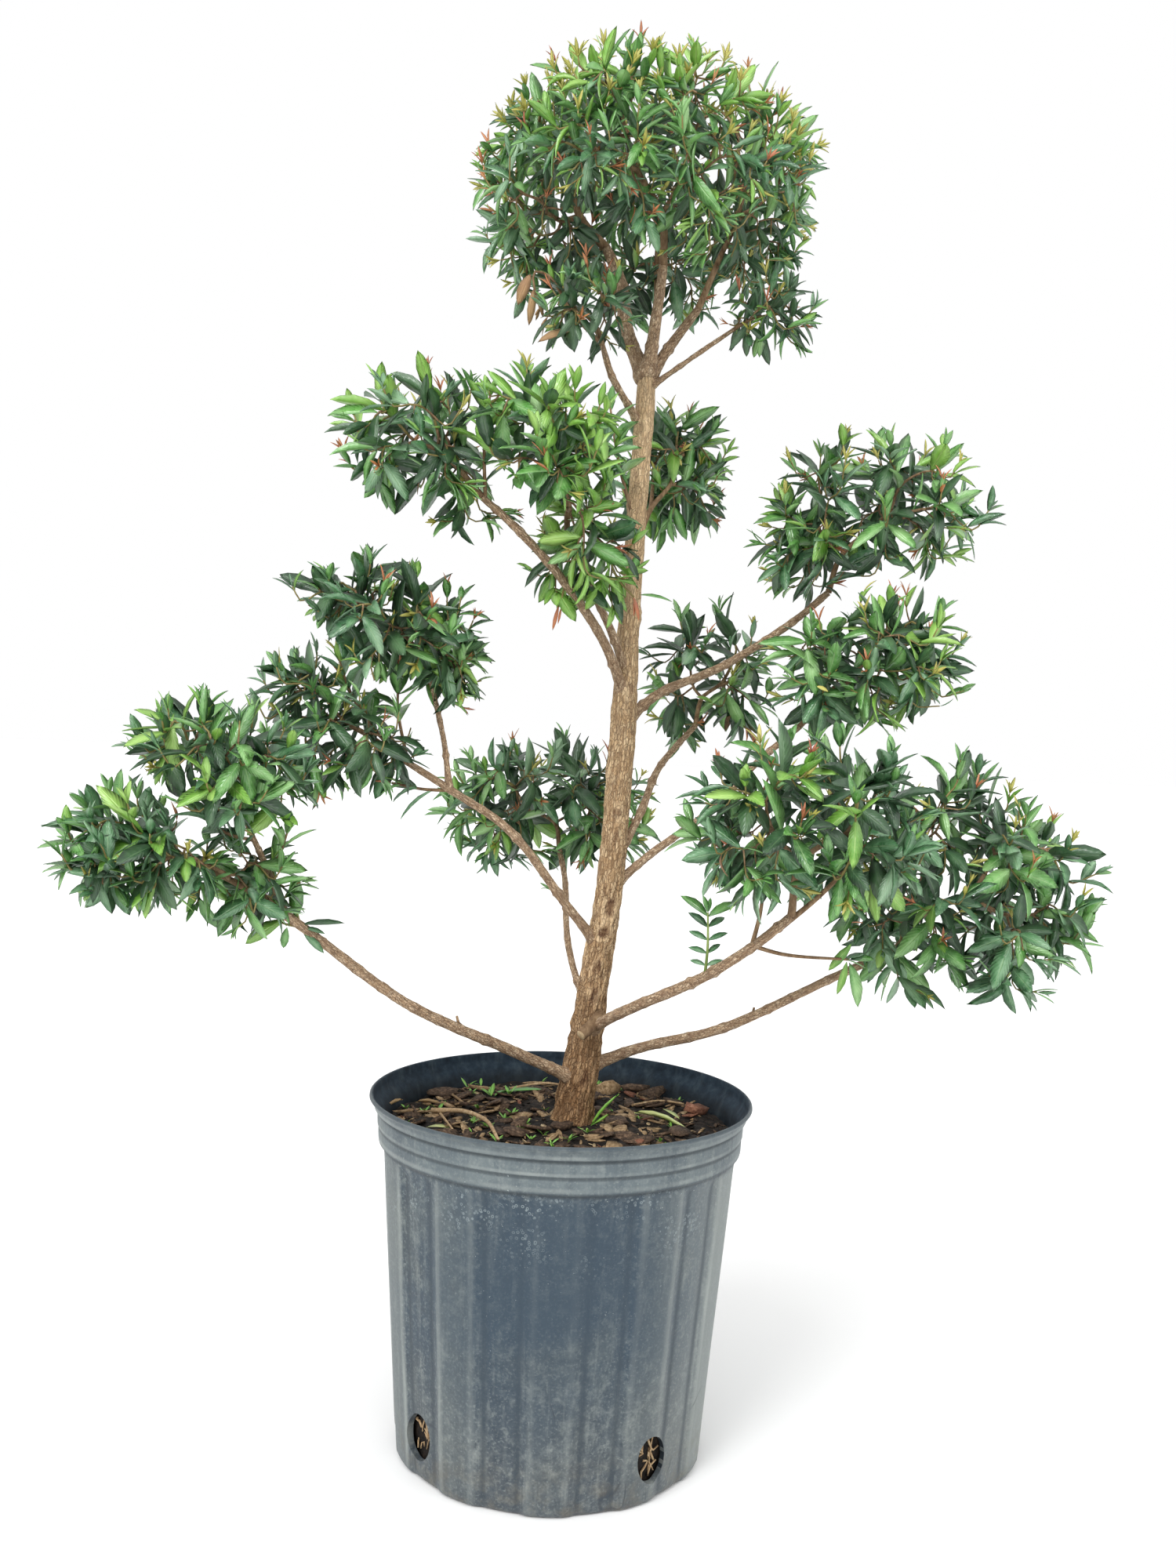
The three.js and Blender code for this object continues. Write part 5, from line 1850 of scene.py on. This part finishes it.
def scatterBits(count, smallest, largest, seed, sink, placed):
    # bits lie on the mix, the small ones more often, and the placed ones are given one by one
    scatter = Random(seed)
    placings = [chipPlacing(*withinPot(x, y, size / 2), size, which, math.radians(bearing),
                            about(0.4, scatter), math.radians(roll), size * 0.12 + 0.8)
                for x, y, size, which, bearing, roll in placed]
    while len(placings) < count:
        reach = mix["scatterReach"] * math.sqrt(scatter.random())
        turn = fullTurn * scatter.random()
        x = reach * math.cos(turn)
        y = reach * math.sin(turn)
        size = smallest + (largest - smallest) * scatter.random() ** 2.4
        spin = fullTurn * scatter.random()
        lean = about(0.8, scatter)
        roll = about(1.1, scatter)
        which = scatter.randrange(len(chipTemplates) - 1)
        if fromTrunk(x, y) < mix["trunkRoom"] + size / 2 or reach + size / 2 > mix["reach"]:
            continue
        placings.append(chipPlacing(x, y, size, which, spin, lean, roll, size * sink))
    return placings


mixPiece = buildMix()
pottingMix = plainGrain("pottingMix", [(10, 9, 8), (30, 24, 20), (62, 49, 39)], 190, 0.92, depth=0.0012)
finishPiece(mixPiece, "pottingMix", [pottingMix], ["soil"])

# length, width and thickness; the last shape is only laid at listed places
chipShapes = [(1.0, 0.5, 0.1), (1.0, 0.32, 0.13), (1.0, 0.68, 0.08), (1.0, 0.14, 0.09), (1.0, 0.58, 0.3)]
chipTemplates = [templateOf(modelChip(f"chip{i}", 20 + i, *shape)) for i, shape in enumerate(chipShapes)]

bitSets = [
    # name, count, smallest, largest, seed, sink, placed (x, y, size, shape, bearing, roll), colours
    ("barkChipsBrown", 330, 4, 24, 11, 0.06,
     [(-125, 91, 26, 2, 20, 10), (-54, 42, 24, 0, 70, -20), (-34, -44, 20, 2, 10, 15),
      (-19, -35, 24, 0, 160, 25), (0, -27, 17, 4, 30, 0), (44, -3, 22, 2, 120, -15),
      (94, 110, 26, 0, 40, 30), (93, -31, 24, 2, 75, 10), (69, 111, 24, 1, 15, 20),
      (-80, 30, 27, 0, 150, 12), (24, 66, 24, 2, 80, -8), (60, -62, 23, 0, 20, 14)],
     [(40, 31, 25), (82, 64, 50), (134, 108, 86)]),
    ("barkChipsRed", 26, 5, 15, 15, 0.07, [(112, 36, 27, 4, 62, 12), (108, 26, 15, 0, 20, 0)],
     [(84, 50, 38), (132, 88, 68), (168, 124, 100)]),
    ("barkChipsTan", 330, 3, 19, 12, 0.07,
     [(42, 104, 22, 2, 10, 62), (-128, 12, 24, 3, 40, 0), (-70, 84, 23, 1, 140, 10),
      (28, -88, 22, 3, 20, 10), (-60, -80, 20, 0, 70, 12), (100, -66, 22, 1, 120, -12)],
     [(104, 82, 58), (152, 126, 94), (200, 174, 138)]),
    ("mixCrumbs", 1900, 1.2, 6, 13, 0.1, [], [(12, 10, 9), (36, 29, 24), (76, 60, 48)]),
    ("paleCrumbs", 230, 1.0, 6.5, 14, 0.14, [], [(132, 110, 82), (180, 158, 124), (212, 196, 166)]),
]
for name, count, smallest, largest, seed, sink, placed, colours in bitSets:
    bits = scatterBits(count, smallest, largest, seed, sink, placed)
    finish = plainGrain(name + "Finish", colours, 420, 0.85, depth=0.0005)
    finishCopies(name, chipTemplates, bits, [finish, finish], ["soil"], rounded=False)

# things that lie on the mix: curved sticks, rootlets in the drain holes, shed leaves, seedlings
# and one green blade

sticks = [
    # x, y and lift of each point, foot and tip radius
    ([(-104, 6, 4), (-91, 2, 7), (-77, -7, 8), (-59, -28, 7), (-47, -68, 4)], 2.1, 1.2),
    ([(-98, 10, 3), (-92, -18, 5), (-83, -47, 3)], 1.2, 0.7),
    ([(-44, 96, 2), (-12, 104, 5), (22, 98, 3)], 1.4, 0.8),
    ([(60, 52, 2), (84, 60, 4), (104, 56, 3)], 1.2, 0.7),
]
rootlets = {
    "seed": 77,
    "perHole": 9,
    # how far each one wanders: round the pot in degrees, and up and down
    "spread": (9, 28),
    "points": 4,
    # how far each of its points wanders: round the pot in radians, up and down, and outwards
    "wander": (0.07, 18, 0.8),
}


def rootletPoints(bearing, random):
    turn = math.radians(bearing + about(rootlets["spread"][0], random))
    height = pot["holeCentreHeight"] + about(rootlets["spread"][1], random)
    radius = mixRadius(height) - 0.4
    swing, rise, outwards = rootlets["wander"]
    points = []
    for step in range(rootlets["points"]):
        place = turn + about(swing, random)
        points.append((radius * math.cos(place), radius * math.sin(place), height + about(rise, random)))
        radius += random.random() * outwards
    return points


litterHeap = TubeHeap()
for points, footRadius, tipRadius in sticks:
    litterHeap.addTapered([onMix(*point) for point in points], footRadius, tipRadius, 8)
rootRandom = Random(rootlets["seed"])
for bearing, tilt in pot["holes"]:
    for k in range(rootlets["perHole"]):
        points = rootletPoints(bearing, rootRandom)
        girth = 0.4 + 0.7 * rootRandom.random()
        litterHeap.addTapered(points, girth, girth, 5)
paleWood = plainGrain("paleWood", [(130, 102, 74), (178, 150, 114), (210, 190, 154)], 320, 0.75)
litterHeap.finished("paleSticks", paleWood, ["soil"])

shedSets = [
    # piece, finish, its colours and roughness, and its leaves: shape, x, y, lift, the bearing that the
    # tip points to, rise, length, breadth and, where there is one, roll
    ("shedLeaves", "shedLeaf", [(146, 162, 84), (176, 190, 108), (208, 212, 148), (218, 220, 170)], 0.5,
     [(1, 60, 16, 5, -28, 0.14, 54, 0.85, 0.3), (0, 96, 6, 5, 118, 0.2, 26, 0.7),
      (2, -104, -34, 3, 20, 0.1, 22, 0.8)]),
    ("shedGreenLeaves", "shedGreenLeaf", [(62, 128, 40), (88, 158, 56), (124, 186, 84), (144, 198, 104)], 0.4,
     [(0, -50, 76, 3, 18, 0.15, 38, 0.75), (1, -56, 64, 3, 60, 0.3, 22, 0.7)]),
    ("shedDryLeaves", "shedDryLeaf", [(136, 106, 68), (180, 148, 102), (210, 184, 138), (200, 172, 124)], 0.7,
     [(3, -120, 38, 3, 8, 0.2, 30, 1.3, 0.5), (1, -144, 18, 2, 60, 0.5, 22, 1.4, 0.8),
      (2, 20, 92, 3, 200, 0.15, 34, 1.1), (3, 118, 74, 3, 250, 0.2, 28, 1.2)]),
]


def layLeaf(which, x, y, lift, bearing, rise, length, breadth, roll=0.0):
    turn = math.radians(bearing)
    way = unit(np.array([math.cos(turn), math.sin(turn), rise]))
    cross = unit(np.cross(np.array([0, 0, 1.0]), way))
    upper = np.cross(way, cross)
    upper = unit(upper * math.cos(roll) + cross * math.sin(roll))
    return (which, leafMatrix(onMix(x, y, lift), way, upper, length, breadth))


for name, finishName, colours, roughness, laid in shedSets:
    finish = leafFinish(finishName, colours, roughness)
    finishCopies(name, leafTemplates, [layLeaf(*leaf) for leaf in laid], [finish, finish], ["soil"])

sowing = {
    "seed": 91,
    "count": 64,
    # the first of them come up on the left
    "leftCount": 40,
    "reach": 130,
    "trunkRoom": 20,
    "size": (3.5, 7.5),
    # x, y and size
    "placed": [(-96, 114, 9), (-59, 68, 10), (-44, 75, 9), (-17, 122, 7), (-34, -22, 7), (-28, -21, 7),
               (-121, -14, 6), (37, 135, 6), (101, 78, 6), (-71, 109, 7), (-45, 5, 8), (21, -33, 7)],
}
blade = {
    "foot": (24, -12),
    "tip": (40, -14, 284),
    # its leaves: shape, lean away from the tip, the way its face looks, length, breadth
    "leaves": [(0, (0, 0, 0), (-0.5, 0.5, 0.6), 36, 0.62), (1, (0.5, -0.2, -0.1), (0.6, 0.4, 0.6), 22, 0.5)],
}


def sowSeedlings(random):
    seedlings = list(sowing["placed"])
    while len(seedlings) < sowing["count"]:
        reach = sowing["reach"] * math.sqrt(random.random())
        onLeft = len(seedlings) < sowing["leftCount"]
        turn = math.pi * (0.4 + 1.2 * random.random()) if onLeft else fullTurn * random.random()
        x = reach * math.cos(turn)
        y = reach * math.sin(turn)
        if fromTrunk(x, y) > sowing["trunkRoom"]:
            seedlings.append((x, y, drawn(sowing["size"], random)))
    return seedlings


def growSeedling(x, y, size, random):
    x, y = withinPot(x, y, size + 2)
    leaves = []
    for k in range(2 + random.randrange(4)):
        spin = fullTurn * random.random()
        rise = 0.5 + 1.1 * random.random()
        way = unit(np.array([math.cos(spin), math.sin(spin), rise]))
        upper = squared(np.array([0, 0, 1.0]), way)
        length = size * (0.8 + 0.6 * random.random())
        leaves.append((k % 3, leafMatrix(onMix(x, y, 0.4), way, upper, length, 1.0)))
    return leaves


sowRandom = Random(sowing["seed"])
sprouts = [leaf for seedling in sowSeedlings(sowRandom) for leaf in growSeedling(*seedling, sowRandom)]
bladeFoot = onMix(*blade["foot"], 0)
bladeWay = unit(np.array(blade["tip"]) - bladeFoot)
for which, lean, face, length, breadth in blade["leaves"]:
    upper = squared(np.array(face), bladeWay)
    sprouts.append((which, leafMatrix(bladeFoot, unit(bladeWay + np.array(lean)), upper, length, breadth)))
sproutFinish = leafFinish("seedlingLeaf", [(80, 146, 40), (118, 180, 62), (158, 208, 92), (184, 220, 120)],
                          0.45)
finishCopies("seedlings", leafTemplates, sprouts, [sproutFinish, sproutFinish], ["soil"])
print("potting mix is made")
